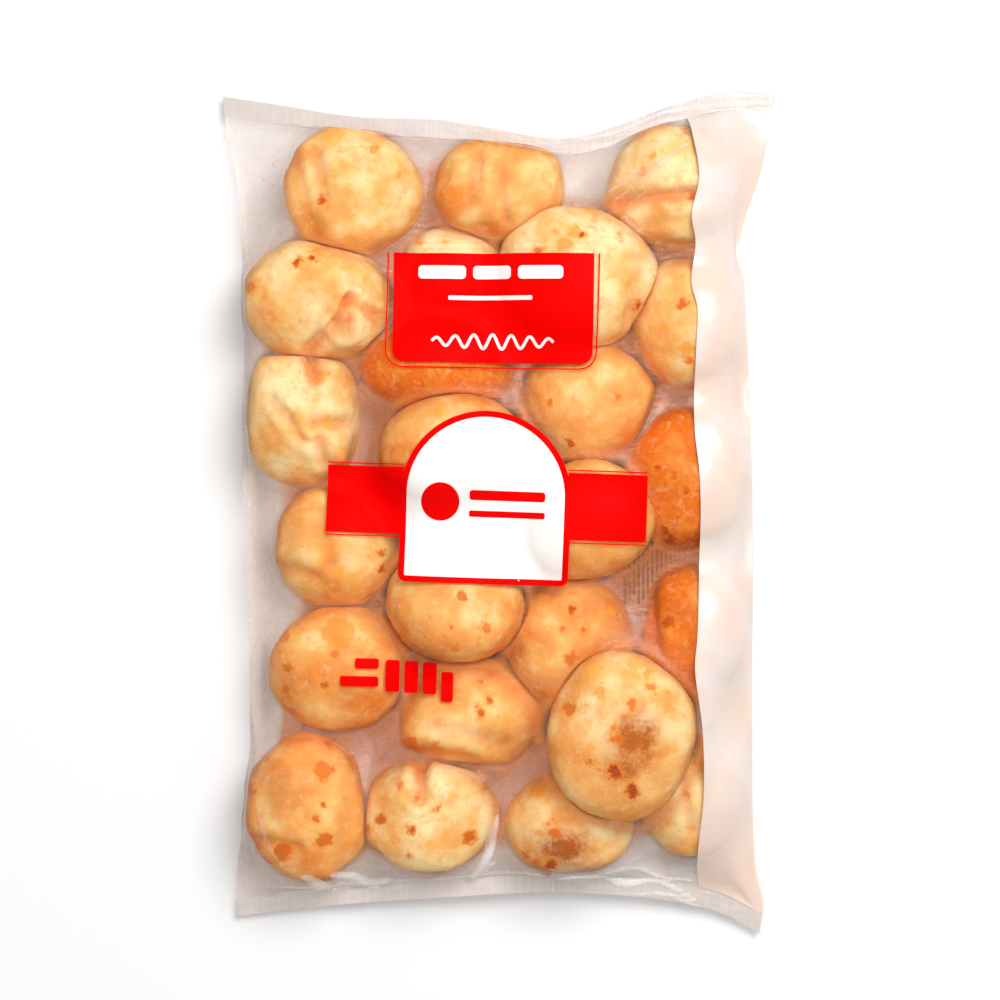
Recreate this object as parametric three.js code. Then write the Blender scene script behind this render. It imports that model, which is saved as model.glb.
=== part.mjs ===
// A clear sealed pillow bag of baked cheese balls, lying on its back, as one closed solid.
// Units are millimetres. +X is across the bag, +Y runs along it towards the top seal, +Z is up.
// The origin is on the surface that the bag lies on, under the middle of its bounding box.
import * as THREE from "three";

// Driving dimensions
const SEAL_WIDTH = 7; // flat welded band at each end
const SEAL_THICKNESS = 0.8; // two films, welded, with their crimp
const SIDE_HEIGHT = 15; // how high the side folds ride at mid length
const SIDE_RISE = 0.6; // exponent of that rise from the corners: under 1 it starts steeply
const SEAL_HEIGHT = 9; // how high the welded ends ride at mid width
const SEAL_RISE = 0.8; // the same exponent for the ends
const CORNER_HEIGHT = 3; // how high the four corners ride
const UNDERSIDE_ROLL = 9; // how far in from a side fold the film reaches the ground
const UNDERSIDE_END_ROLL = 24; // the same, from a welded end
const FILM_CLEARANCE = 0.6; // film over a ball's crown
const ACROSS = 40; // grid cells across the bag
const ALONG = 58; // grid cells along the bag
const DRAPE_PASSES = 500;
const DRAPE_SLACK = 0.03; // how far the film sinks between balls in each pass
const BALL_SQUATNESS = 0.78; // a ball's half height as a share of its mean half width
const BALL_HALF_HEIGHT_MAX = 19;
const WAIST_SHARE = 0.5; // where a ball is widest, as a share of its crown's height
const CROWN_FLATNESS = 0.62; // exponent of a ball's dome: 0.5 is round, 1 is a cone

// The bag's outline seen from above, each edge as the few points that its curve needs
const TOP_EDGE = [
  [-97.3, 146.7], [-78, 143.7], [-50, 139.2], [-19, 137.7], [16, 131.8],
  [34, 133.6], [60, 143], [79, 148], [97.3, 148],
];
const BOTTOM_EDGE = [
  [-92.1, -141.8], [-53, -137.2], [-15, -134.4], [16, -132.8],
  [43, -134.1], [65, -137], [79, -141], [91.6, -148],
];
const LEFT_EDGE = [
  [-92.1, -141.8], [-91.8, -124], [-88.6, -98], [-86.9, -62],
  [-89.4, 6], [-89.3, 66], [-91.6, 114], [-95, 129], [-97.3, 146.7],
];
const RIGHT_EDGE = [
  [91.6, -148], [92.4, -137], [89.2, -118], [88.3, -60],
  [88.4, 0], [86.2, 74], [84.2, 96], [92.2, 122], [97.3, 148],
];

// The balls under the film: centre x and y, half width, half length, lift off the ground
const BALLS = [
  [-51, 112, 25, 22.5, 0], [1, 113.5, 23, 18.5, 0], [60, 113, 21.5, 22, 0],
  [-64, 74, 26, 21, 0], [-17.5, 82.5, 19, 17, 0], [26.5, 82, 27, 25.5, 3],
  [66, 66, 18.5, 23.5, 0], [-68, 33, 20.5, 24, 0], [-21, 51, 27, 17, 0],
  [31, 38.5, 23.5, 21.5, 0], [64, 11.5, 21, 25, 0], [-15, 21, 26, 20, 11],
  [-56.5, -11.5, 22, 22, 0], [31, -3, 22, 20.5, 12], [-15, -31.5, 24.5, 20.5, 9],
  [24, -44.5, 23.5, 23, 0], [66.5, -41.5, 19, 24, 0], [-56, -54, 24, 22.5, 0],
  [-10, -70, 24, 20, 0], [42, -77, 25, 29, 16.5], [66, -98.5, 18, 21.5, 0],
  [-66.5, -102, 22, 25.5, 0], [-24, -105.5, 24.5, 20.5, 0], [24, -107.5, 22.5, 18, 0],
];

// A smooth plane curve through an edge's points.
function edgeCurve(points) {
  return new THREE.SplineCurve(points.map(([x, y]) => new THREE.Vector2(x, y)));
}

// A point of the Coons patch that the four edges bound: u runs across, v along.
function patchPoint(edges, u, v) {
  const bottom = edges.bottom.getPoint(u);
  const top = edges.top.getPoint(u);
  const left = edges.left.getPoint(v);
  const right = edges.right.getPoint(v);
  const across = bottom.lerp(top, v);
  const along = left.lerp(right, u);
  const low = edges.bottom.getPoint(0).lerp(edges.bottom.getPoint(1), u);
  const high = edges.top.getPoint(0).lerp(edges.top.getPoint(1), u);
  return across.add(along).sub(low.lerp(high, v));
}

// The height of the outline's rim: low at the corners, higher along the sides and ends.
function rimHeight(u, v) {
  const side = (SIDE_HEIGHT - CORNER_HEIGHT) * Math.sin(Math.PI * v) ** SIDE_RISE;
  const end = (SEAL_HEIGHT - CORNER_HEIGHT) * Math.sin(Math.PI * u) ** SEAL_RISE;
  const nearSide = Math.abs(2 * u - 1) ** 2;
  const nearEnd = Math.abs(2 * v - 1) ** 2;
  const share = nearSide + nearEnd || 1;
  return CORNER_HEIGHT + (side * nearSide + end * nearEnd) / share;
}

// The crown height of the balls over one point, or 0 where there is none.
function ballHeight(x, y) {
  let highest = 0;
  for (const [cx, cy, halfWidth, halfLength, lift] of BALLS) {
    const reach = ((x - cx) / halfWidth) ** 2 + ((y - cy) / halfLength) ** 2;
    if (reach < 1) {
      const squat = (BALL_SQUATNESS * (halfWidth + halfLength)) / 2;
      const crown = lift + 2 * Math.min(squat, BALL_HALF_HEIGHT_MAX);
      const waist = crown * WAIST_SHARE;
      const dome = waist + (crown - waist) * (1 - reach) ** CROWN_FLATNESS;
      highest = Math.max(highest, dome + FILM_CLEARANCE);
    }
  }
  return highest;
}

// The two skins as grids of points, with the upper one draped over the balls.
function filmGrids() {
  const edges = {
    top: edgeCurve(TOP_EDGE),
    bottom: edgeCurve(BOTTOM_EDGE),
    left: edgeCurve(LEFT_EDGE),
    right: edgeCurve(RIGHT_EDGE),
  };
  const upper = [];
  const lower = [];
  const floorOf = [];
  const width = edges.right.getPoint(0.5).x - edges.left.getPoint(0.5).x;
  const length = edges.top.getPoint(0.5).y - edges.bottom.getPoint(0.5).y;
  const sealRows = Math.round((SEAL_WIDTH / length) * ALONG);
  for (let j = 0; j <= ALONG; j++) {
    for (let i = 0; i <= ACROSS; i++) {
      const u = i / ACROSS;
      const v = j / ALONG;
      const at = patchPoint(edges, u, v);
      const rim = rimHeight(u, v);
      const fromSide = Math.min(u, 1 - u) * width;
      const fromEnd = Math.min(v, 1 - v) * length;
      const roll = Math.min(
        THREE.MathUtils.smoothstep(fromSide, 0, UNDERSIDE_ROLL),
        THREE.MathUtils.smoothstep(fromEnd, SEAL_WIDTH, UNDERSIDE_END_ROLL),
      );
      const under = rim * (1 - roll);
      lower.push(new THREE.Vector3(at.x, at.y, under));
      upper.push(new THREE.Vector3(at.x, at.y, rim + SEAL_THICKNESS));
      floorOf.push(Math.max(ballHeight(at.x, at.y), under + SEAL_THICKNESS));
    }
  }
  drape(upper, floorOf, sealRows);
  return { upper, lower };
}

// Lets the upper skin hang as a taut film: each point takes its neighbours' mean height,
// sinks a little, and is held up by whatever is under it. Rim and seals stay where they are.
function drape(upper, floorOf, sealRows) {
  const row = ACROSS + 1;
  for (let pass = 0; pass < DRAPE_PASSES; pass++) {
    for (let j = sealRows + 1; j < ALONG - sealRows; j++) {
      for (let i = 1; i < ACROSS; i++) {
        const k = j * row + i;
        const around = upper[k - 1].z + upper[k + 1].z + upper[k - row].z + upper[k + row].z;
        upper[k].z = Math.max(around / 4 - DRAPE_SLACK, floorOf[k]);
      }
    }
  }
}

// One closed geometry from two skins with the same grid: both faces and the wall round the rim.
function closedShell({ upper, lower }) {
  const row = ACROSS + 1;
  const positions = [...upper, ...lower].flatMap((p) => [p.x, p.y, p.z]);
  const faces = [];
  const quad = (a, b, c, d) => faces.push(a, b, c, a, c, d);
  for (let j = 0; j < ALONG; j++) {
    for (let i = 0; i < ACROSS; i++) {
      const k = j * row + i;
      const m = k + upper.length;
      quad(k, k + 1, k + row + 1, k + row);
      quad(m, m + row, m + row + 1, m + 1);
    }
  }
  const rim = [];
  for (let i = 0; i < ACROSS; i++) rim.push(i);
  for (let j = 0; j < ALONG; j++) rim.push(j * row + ACROSS);
  for (let i = ACROSS; i > 0; i--) rim.push(ALONG * row + i);
  for (let j = ALONG; j > 0; j--) rim.push(j * row);
  rim.forEach((a, n) => {
    const b = rim[(n + 1) % rim.length];
    quad(a, a + upper.length, b + upper.length, b);
  });
  const geometry = new THREE.BufferGeometry();
  geometry.setAttribute("position", new THREE.Float32BufferAttribute(positions, 3));
  geometry.setIndex(faces);
  geometry.computeVertexNormals();
  return geometry;
}

// Puts the geometry's bounding box on the ground, centred on the origin.
function standOnOrigin(geometry) {
  geometry.computeBoundingBox();
  const box = geometry.boundingBox;
  const centre = box.getCenter(new THREE.Vector3());
  return geometry.translate(-centre.x, -centre.y, -box.min.z);
}

const bagMaterial = new THREE.MeshStandardMaterial({
  color: 0xf3c892,
  roughness: 0.45,
  metalness: 0,
});

const bag = new THREE.Mesh(standOnOrigin(closedShell(filmGrids())), bagMaterial);
bag.name = "sealed_bag";

const part = new THREE.Group();
part.add(bag);

export default part;
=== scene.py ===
"""Looks of a clear sealed pillow bag of baked cheese balls, lying on its back.

The CAD solid gives the bag's place and size. The film, the balls inside it, the printed fields and the
crumbs are surfaces worked out here, in millimetres, and put into meshes in metres. +X is across the bag,
+Y runs along it towards the top seal, and +Z is up. The balls come first, because the film settles on them
and the printed fields lie on the film.
"""
import math

import bpy
import numpy as np
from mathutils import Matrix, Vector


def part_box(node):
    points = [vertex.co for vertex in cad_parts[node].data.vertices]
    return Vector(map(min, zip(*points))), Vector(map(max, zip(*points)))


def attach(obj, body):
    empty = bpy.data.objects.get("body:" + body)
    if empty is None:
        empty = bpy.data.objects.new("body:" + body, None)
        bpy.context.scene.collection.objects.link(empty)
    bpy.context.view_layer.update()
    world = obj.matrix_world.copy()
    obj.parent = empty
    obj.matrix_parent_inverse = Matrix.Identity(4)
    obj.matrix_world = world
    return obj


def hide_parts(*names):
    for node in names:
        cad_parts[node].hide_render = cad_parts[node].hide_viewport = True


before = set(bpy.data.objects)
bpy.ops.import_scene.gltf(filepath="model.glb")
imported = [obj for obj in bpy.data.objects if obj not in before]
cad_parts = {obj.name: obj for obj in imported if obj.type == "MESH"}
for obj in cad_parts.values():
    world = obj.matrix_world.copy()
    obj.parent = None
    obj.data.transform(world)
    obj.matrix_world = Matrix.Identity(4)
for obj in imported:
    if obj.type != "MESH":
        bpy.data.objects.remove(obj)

bl_info = {
    "name": "Bag of Cheese Balls",
    "version": (1, 0, 0),
    "blender": (4, 5, 0),
    "location": "View3D > Sidebar > Cheese Balls",
    "description": "Builds a clear sealed bag of baked cheese balls around its CAD solid",
    "category": "Add Mesh",
}

MM = 0.001
SHARP_FROM = math.radians(60)  # an edge bent more than this keeps its crease when shaded
CAD_NODE = "sealed_bag"
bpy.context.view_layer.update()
BODY = "root"
made = {}  # what a later operator needs of an earlier one: maps of the balls' and the film's height, and grids

# The bag's outline seen from above, in mm, each edge as the few points that its curve needs
TOP_EDGE = [(-97.3, 146.7), (-78, 143.7), (-50, 139.2), (-19, 137.7), (16, 131.8),
            (34, 133.6), (60, 143), (79, 148), (97.3, 148)]
BOTTOM_EDGE = [(-92.1, -141.8), (-53, -137.2), (-15, -134.4), (16, -132.8),
               (43, -134.1), (65, -137), (79, -141), (91.6, -148)]
LEFT_EDGE = [(-92.1, -141.8), (-91.8, -124), (-88.6, -98), (-86.9, -62),
             (-89.4, 6), (-89.3, 66), (-91.6, 114), (-95, 129), (-97.3, 146.7)]
RIGHT_EDGE = [(91.6, -148), (92.4, -137), (89.2, -118), (88.3, -60),
              (88.4, 0), (86.2, 74), (84.2, 96), (92.2, 122), (97.3, 148)]
# Where the white side strip begins, from the top seal to the bottom one
STRIP_EDGE = [(64.5, 150), (66.5, 134), (69, 117), (66.5, 103.5), (68, 93.5), (66.5, 80), (68.5, 70.5),
              (68, 55), (67.5, 30.5), (69, 14), (69.5, -7), (68.5, -41), (67.5, -55), (70, -76.5),
              (70.5, -98), (69, -120), (71, -134), (76, -150)]

# The balls, each in mm: its centre, its half width and half length, its lift off the ground if it has one,
# and how baked it is, from 0 for pale to 1 for deep orange. Places on a ball are measured from its centre as
# seen from above. spots: x, y, radius, strength. toast: x, y, reach in x, reach in y, strength. folds: from
# x, y to x, y, width, depth, each also painted orange as shade. lobes: x, y, radius, height. base: the
# direction of its flat side and how far out that lies, of 1. crown: the way towards the light, away from
# which painted shade turns the crust more orange, where it differs from the usual way.
BALLS = (
    dict(at=(-51, 112), half=(25, 22.5), bake=0.32,
         spots=[(-6.5, 19, 3.8, 0.3), (8, 13.5, 1.6, 0.45), (-10, -3.5, 1.2, 0.8), (16.5, 5, 0.7, 0.4),
                (-0.5, -18.5, 2.8, 0.35)],
         folds=[(-12, 11.5, -9.5, -4, 2.4, 1.1), (-18.5, 8, -12.5, -15, 3.1, 0.8)],
         lobes=[(-8, 18.5, 5.5, 0.8)]),
    dict(at=(1, 113.5), half=(23, 18.5), bake=0.41,
         spots=[(16, 11.5, 1.6, 0.4), (-11, 13.5, 1.8, 0.35), (-17.5, -3.5, 3.1, 0.45),
                (6.5, 15.5, 1.4, 0.3)],
         toast=[(-14, -4, 7, 5.5, 0.25)],
         folds=[(-1.5, 6.5, 1.5, -12.5, 2.1, 0.9), (-9, 10, -11, -7, 2.8, 1)],
         lobes=[(-16.5, -5.5, 7, 1.4), (11.5, 6.5, 7, 1)]),
    dict(at=(60, 113), half=(21.5, 22), bake=0.16,
         spots=[(-7, 10.5, 1, 0.4), (4.5, 19.5, 1, 0.5), (7, -3, 1, 0.7), (-10.5, 5, 1.4, 0.4)],
         toast=[(-2.5, -8.5, 7.5, 3, 0.35)],
         folds=[(-17.5, -5, 7.5, -3, 2.4, 2.2)],
         lobes=[(-3.5, 9, 7.5, 1.2)],
         base=(-0.1, -1, 0.1, 0.86)),
    dict(at=(-64, 74), half=(26, 21), bake=0.26,
         spots=[(-5.5, 13, 1.4, 0.8), (-0.5, 14, 1.2, 0.85), (-21.5, 4, 1.8, 0.5), (12.5, -7, 1.4, 0.4),
                (-17, 0.5, 1, 0.4)],
         folds=[(-2, -18, 7.5, -9, 2.1, 1.6), (7.5, -9, 12, -0.5, 1.8, 2.2), (12, -0.5, 21, -6, 1.8, 1.4)],
         lobes=[(13.5, -12, 7, 2.4), (5, 6, 8.5, 1.2)]),
    dict(at=(-17.5, 82.5), half=(19, 17), bake=-0.13,
         spots=[(-10, 12, 1.4, 0.4), (-1, 11.5, 1, 0.35)]),
    dict(at=(26.5, 82), half=(27, 25.5), lift=3, bake=0.13,
         spots=[(2, 14, 1, 0.9), (-0.5, 14.5, 2.1, 0.4), (-4, 10.5, 2.4, 0.4), (6, 19, 1.4, 0.35),
                (15, 13.5, 1, 0.45), (-12.5, 8.5, 0.9, 0.6), (21.5, -10, 1.1, 0.9), (-6.5, 15, 0.7, 0.4)],
         folds=[(21.5, 6.5, 19.5, -14, 3.1, 0.8)]),
    dict(at=(66, 66), half=(18.5, 23.5), bake=0.27,
         spots=[(-2.5, 6, 1.6, 0.7), (0, -13, 1.2, 0.6), (-9, -2, 1, 0.35), (-1, -9.5, 2.4, 0.4)],
         toast=[(0, -9.5, 5.5, 5, 0.3)]),
    dict(at=(-68, 33), half=(20.5, 24), bake=0.23,
         spots=[(0, -6.5, 1, 0.3), (-13.5, -15, 1.2, 0.3), (9.5, -2, 2.4, 0.3), (5.5, 7.5, 1, 0.25)],
         folds=[(-10, 6.5, -4.5, -0.5, 1.8, 0.8), (-4.5, -0.5, 0.5, -7.5, 1.8, 0.8),
                (4, -2, 16, -2, 2.1, 1.3), (2.5, 23.5, 4.5, 13.5, 2.4, 2), (6, -7.5, 8, -15, 2.1, 1.2)],
         lobes=[(-9.5, 16.5, 7.5, 1.6), (11, 14.5, 7, 1.6), (11, -11.5, 5.5, 1.6)]),
    dict(at=(-21, 51), half=(27, 17), bake=1.30,
         spots=[(-3, -8, 0.9, 0.4), (11, -6, 0.9, 0.5), (-13.5, -2.5, 1, 0.4)]),
    dict(at=(31, 38.5), half=(23.5, 21.5), bake=0.51,
         spots=[(-13, -0.5, 1, 0.5), (-6.5, -14, 1.2, 0.75), (10, 1.5, 1.2, 0.5), (-3, -18.5, 1.2, 0.6),
                (-5.5, 0.5, 0.7, 0.4)],
         base=(0.9, -0.35, 0.1, 0.9)),
    dict(at=(64, 11.5), half=(21, 25), bake=1.08,
         spots=[(-9.5, 4.5, 1.4, 0.8), (-3.5, 1.5, 1.4, 0.7), (-6.5, -1.5, 1.4, 0.7),
                (0.5, -3.5, 1.6, 0.8), (-9, -9.5, 0.9, 0.7), (-3.5, -9.5, 1, 0.6), (-7, -17.5, 2.1, 0.8),
                (-4.5, -21, 1.8, 0.9)],
         toast=[(-4, -0.5, 6.5, 6.5, 0.45), (-6.5, -19, 4, 3.5, 0.35)],
         folds=[(-14.5, 3.5, 6.5, 9, 4.2, 0.8)]),
    dict(at=(-15, 21), half=(26, 20), lift=11, bake=0.50,
         spots=[(-5.5, 14.5, 2.1, 0.35), (3, 19.5, 1, 0.4), (7.5, 18, 1, 0.3)]),
    dict(at=(-56.5, -11.5), half=(22, 22), bake=0.40,
         spots=[(15.5, -2, 1.1, 0.7), (16, -8, 1, 0.8), (1.5, -9, 1.8, 0.35), (6.5, -13.5, 2.1, 0.35),
                (-12.5, -5.5, 1.8, 0.3)],
         folds=[(-5.5, 11, -1, -5, 3.1, 0.8), (-18, -7.5, -6, -10.5, 2.1, 0.6)],
         lobes=[(-9.5, -1.5, 7, 1.2)]),
    dict(at=(31, -3), half=(22, 20.5), lift=12, bake=0.42,
         spots=[(-9.5, 7.5, 1, 0.5), (8, -13.5, 1.4, 0.4), (2.5, 11.5, 1, 0.4)]),
    dict(at=(-15, -31.5), half=(24.5, 20.5), lift=9, bake=0.42,
         spots=[(2.5, 3, 1.4, 0.6), (-1.5, -8, 0.8, 0.6), (10.5, -7.5, 1.8, 0.5), (0, -14.5, 1.4, 0.45),
                (8, -13, 1, 0.4)],
         base=(0.1, -0.6, -0.8, 0.9)),
    dict(at=(24, -44.5), half=(23.5, 23), bake=0.57,
         spots=[(1.5, 11, 1.2, 0.8), (5, 3.5, 0.8, 0.7), (1, -5.5, 1.8, 0.6), (-2.5, 4.5, 0.9, 0.5),
                (15.5, 10.5, 1, 0.3), (10, 10, 0.7, 0.4)],
         toast=[(-19.5, -2, 7, 5.5, 0.8), (11.5, -3.5, 6.5, 5.5, 0.25)],
         base=(-0.8, -0.5, 0, 0.92)),
    dict(at=(66.5, -41.5), half=(19, 24), bake=1.01,
         spots=[(-16.5, 16.5, 1.6, 0.8), (-2.5, 13.5, 1.4, 0.6), (-8, 4, 2.1, 0.8), (-5, 10, 1.8, 0.6),
                (-3, -3, 1, 0.4)],
         toast=[(-6, 8, 5, 5, 0.6), (0.5, -3, 5, 9, 0.35)],
         folds=[(-15, 18, -14, -7, 2.8, 1.2)],
         base=(-1, 0.2, 0, 0.86)),
    dict(at=(-56, -54), half=(24, 22.5), bake=0.53,
         spots=[(0.5, 12.5, 5.2, 0.4), (-18.5, 11.5, 2.1, 0.5), (-1, 6, 1.2, 0.5), (-17, 1, 1.6, 0.6),
                (-17.5, -7, 1.6, 0.6), (-4, -5.5, 1.2, 0.7), (-14, 16, 1, 0.4)],
         toast=[(6.5, -10.5, 7.5, 4.5, 0.45)],
         folds=[(-6.5, 14, 6.5, 6, 1.8, 0.5)]),
    dict(at=(-10, -70), half=(24, 20), crown=(0.1, -0.4, 0.9), bake=0.44,
         spots=[(3.5, 1, 1.2, 0.75), (6.5, 5.5, 0.9, 0.7), (3, 12, 0.8, 0.6), (2.5, 3.5, 0.7, 0.6),
                (-12, -9.5, 0.8, 0.7), (-21, -10, 2.4, 0.6), (-10.5, -14.5, 1.8, 0.45),
                (17.5, -9.5, 1, 0.3)],
         toast=[(-20.5, -10.5, 3.5, 3.5, 0.5)],
         folds=[(-23.5, -11, 0, -15.5, 2.8, 1.2), (-10.5, -3, 12, -10, 3.1, 0.7)],
         lobes=[(-20, -10, 4, 2), (9.5, -3, 7.5, 1.2)],
         base=(-0.12, -1, 0.05, 0.84)),
    dict(at=(42, -77), half=(25, 29), lift=16.5, crown=(0.1, 0.8, 0.6), bake=0.31,
         spots=[(-9, 23, 3.5, 0.28), (-7.5, 16, 2.1, 0.4), (8.5, 21.5, 1.6, 0.4), (9.5, 17.5, 1.4, 0.5),
                (-17.5, 10, 2.1, 0.6), (3, 12, 1.5, 0.6), (-3, 3.5, 0.8, 0.5), (-2, 0.5, 1.2, 0.6),
                (-2.5, -11, 2.4, 0.95), (3.5, -17.5, 2.3, 1), (-11, -7.5, 1.2, 0.55), (-7.5, -9.5, 1, 0.5),
                (-11.5, 11, 0.7, 0.4), (15, 15, 0.7, 0.4)],
         toast=[(4.5, -0.5, 9, 10.5, 1.25), (0, -9, 8, 7, 0.95)],
         lobes=[(-6.5, 18.5, 9, 0.8)]),
    dict(at=(66, -98.5), half=(18, 21.5), bake=0.22,
         spots=[(-1, 1.5, 1.1, 0.5), (2.5, 13, 1.8, 0.4), (1, -17.5, 1, 0.3)],
         folds=[(-4, 11.5, 1, -12.5, 1.8, 0.6)]),
    dict(at=(-66.5, -102), half=(22, 25.5), crown=(0.2, -0.3, 0.9), bake=0.54,
         spots=[(6, 13, 3.1, 0.55), (7.5, 22.5, 1.2, 0.6), (20, 11.5, 1.3, 0.7), (6, 2, 0.8, 0.8),
                (4, -3, 0.8, 0.7), (6, -10.5, 2.4, 0.65), (-8, -15, 3.1, 0.7), (-15, -20, 1.8, 0.7),
                (-19.5, 6, 1.4, 0.6), (-18, -13, 1.8, 0.5)],
         toast=[(-9, 8.5, 5, 8.5, 0.5), (-6.5, -16, 5.5, 3, 0.4)],
         folds=[(-16.5, -11.5, -3, -14.5, 2.1, 0.9), (15, 1.5, 11, -19.5, 2.4, 0.7)],
         lobes=[(-6.5, 12, 8.5, 1)],
         base=(0.9, 0.1, 0, 0.9)),
    dict(at=(-24, -105.5), half=(24.5, 20.5), bake=0.19,
         spots=[(-16.5, -0.5, 1.6, 0.7), (-6, -3.5, 1.5, 0.85), (14, -6.5, 2.1, 0.7), (-22, -4, 1.1, 0.7),
                (-19, -13, 1.9, 0.6), (-10, 12, 1.1, 0.5), (-4.5, 7.5, 1, 0.5), (2.5, 3.5, 0.8, 0.6),
                (20.5, 11.5, 2.1, 0.5), (-7, -13, 0.8, 0.6), (8.5, 8.5, 1.4, 0.25)],
         toast=[(-1.5, 20, 6.5, 2, 0.5)],
         folds=[(-2.5, 22, -3.5, 7, 2.1, 2), (-3.5, 7, 7, 5, 2.1, 0.5)],
         lobes=[(-10.5, 8.5, 7, 1.4), (9, 10, 8.5, 1.6)]),
    dict(at=(24, -107.5), half=(22.5, 18), lift=4, bake=0.22,
         spots=[(-6, -14, 1.9, 0.9), (-5, -2.5, 1.5, 0.65), (-14.5, -11, 1, 0.6), (-10.5, -3, 1.1, 0.4),
                (-6, 0.5, 0.8, 0.6), (-4.5, 0.5, 0.7, 0.6), (-10.5, 12, 2.1, 0.4), (-11, -13, 0.9, 0.6),
                (-16.5, 7, 1, 0.3)],
         toast=[(-1.5, -7.5, 9.5, 8, 1.3)]),
)

# Creases of the film, in mm: the path as seen from above, its width, its height, and the strength of its
# painted highlight, of 1. Those with no height are only a painted sheen.
CREASES = (
    ([(-67.9, -125.4), (-64, -127.4), (-59, -130)], 1.5, 0.8, 0.8),
    ([(-66, -128.3), (-61, -130.6), (-57, -132)], 1.1, 0.6, 0.7),
    ([(-58.5, -125), (-52, -126.3), (-45, -129), (-38, -128)], 1.5, 0.9, 0.9),
    ([(-57, -128.5), (-50, -129.8), (-42, -131.2)], 1.1, 0.6, 0.6),
    ([(-0.7, -104.5), (-2.6, -112), (-4.6, -120), (-10.5, -127)], 1.3, 0.9, 1.0),
    ([(-1.5, -121), (-6, -124.5), (-12, -128.6)], 1.1, 0.6, 0.7),
    ([(-84.4, -44.5), (-85.6, -60), (-85.2, -75), (-81, -100.5)], 1.7, 0.5, 0.3),
    ([(-83, -98), (-80.5, -112), (-73.5, -124)], 1.6, 0.6, 0.36),
    ([(37.4, 110.9), (52, 119), (66.9, 128.6)], 1.1, 0.7, 0.5),
    ([(39.6, 107.8), (48.5, 114), (58.1, 121.8)], 1.0, 0.6, 0.45),
    ([(44, 106), (54, 113.5), (66.9, 119.3)], 1.0, 0.6, 0.4),
    ([(41, 101.5), (46, 104.5), (53, 108.5)], 1.0, 0.5, 0.3),
    ([(-82, -130.6), (-58, -129.5), (-34.7, -128.5), (5.6, -125), (18, -126)], 1.1, 0.5, 0.5),
    ([(18.4, -126.5), (19, -132), (19.4, -139)], 1.0, 0.3, 0.35),
    ([(19, -127), (33, -126), (44, -130), (56, -129), (71, -137)], 1.2, 0.8, 0.55),
    ([(36, -125), (47, -123.5), (58, -127.5), (70, -128.5)], 1.2, 0.7, 0.45),
    ([(47, -134), (60, -134), (74, -141)], 1.1, 0.5, 0.4),
    ([(46.5, 137.5), (60, 141), (78, 143.6), (96, 144.4)], 1.1, 0.6, 0.2),
    ([(23, 131), (35, 132), (48, 136), (60, 141.5)], 1.1, 0.5, 0.15),
    ([(-95, 138.5), (-74, 135.4), (-50, 131.7), (-19, 130.2), (16, 125)], 1.0, 0.35, 0.3),
    ([(-88, 40), (-86.6, 20), (-87.4, -6)], 1.2, 0.4, 0.35),
    ([(44, 111), (54, 117), (65, 122)], 6.0, 0.0, 0.3),
    ([(39, 58.5), (43, 54.5), (46.5, 50)], 1.6, 0.4, 0.3),
    ([(-2, 118), (3, 122), (10, 121)], 4.0, 0.0, 0.28),
    ([(24, -120), (36, -122.5), (50, -119)], 3.5, 0.2, 0.3),
    ([(20, -96), (27, -101), (33, -100)], 3.0, 0.0, 0.26),
)

# The balls
# side carries painted shade: 0 where the crust faces the light, 1 where it faces away. fold carries painted
# shade along the folds.
BALL_ATTRIBUTES = ("spot_reach", "spot_strength", "toast", "fold_shade", "side", "bake")
BALL_SQUATNESS = 0.78  # a ball's half height as a share of its mean half width
BALL_HALF_HEIGHT_MAX = 19  # mm
BALL_RINGS = 88  # grid cells from pole to pole of a ball
BALL_STEPS = 176  # grid cells round it
# The random swellings of a ball, each with its height, its size and its step of the seed
SWELLS = ((0.07, 0.8, 0), (0.02, 0.36, 0.3), (0.009, 0.17, 0.6), (0.005, 0.08, 0.8))
RELIEF = 1.9  # of the table's lobes and folds
# The way towards the light: the crust is painted more orange, as shade, the further it faces away
LIGHT_WAY = (0.26, 0.36, 0.896)  # from a ball's middle to its palest side
FADE_BELOW = 60  # how far a mark seems to lie from a place straight under the ball, mm
GUESSED_SPOTS = 9  # blisters on a ball's unseen side
NEIGHBOUR_REACH = 60  # between the middles of two balls that may touch, mm
FREE_WAY = 9  # share of a ball's size at which nothing stops it
CONTACT_GAP = 0.25  # air between two balls that touch, mm
SIDE_ROOM = 1.2  # from a side fold in to a ball, mm
END_ROOM = 5.5  # from a sealed end in to a ball, mm
DENT = 1.03  # size of a ball of the layer above where it dents this one, as a share of its own
SHOULDER = 2.5  # over which a ball's steep sides are softened for the film to lie on, mm
DIP_REACH = 3  # over which the balls' heights are averaged to find a dip, mm
DIP_FROM, DIP_DEPTH = 0.2, 2  # a dip counts from this depth, and fully at this much more, mm
DIP_EDGE = 1.2  # over which a dip's edge is smoothed, mm
NO_SPOT = (6.0, 0.4)  # reach in mm and strength that the material reads where no blister is near
GROUND = 1.0  # height of the balls' flattened undersides, just above the film's back, mm
STACKED = 4  # a ball that lies this much higher than its neighbour keeps its shape, mm

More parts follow.
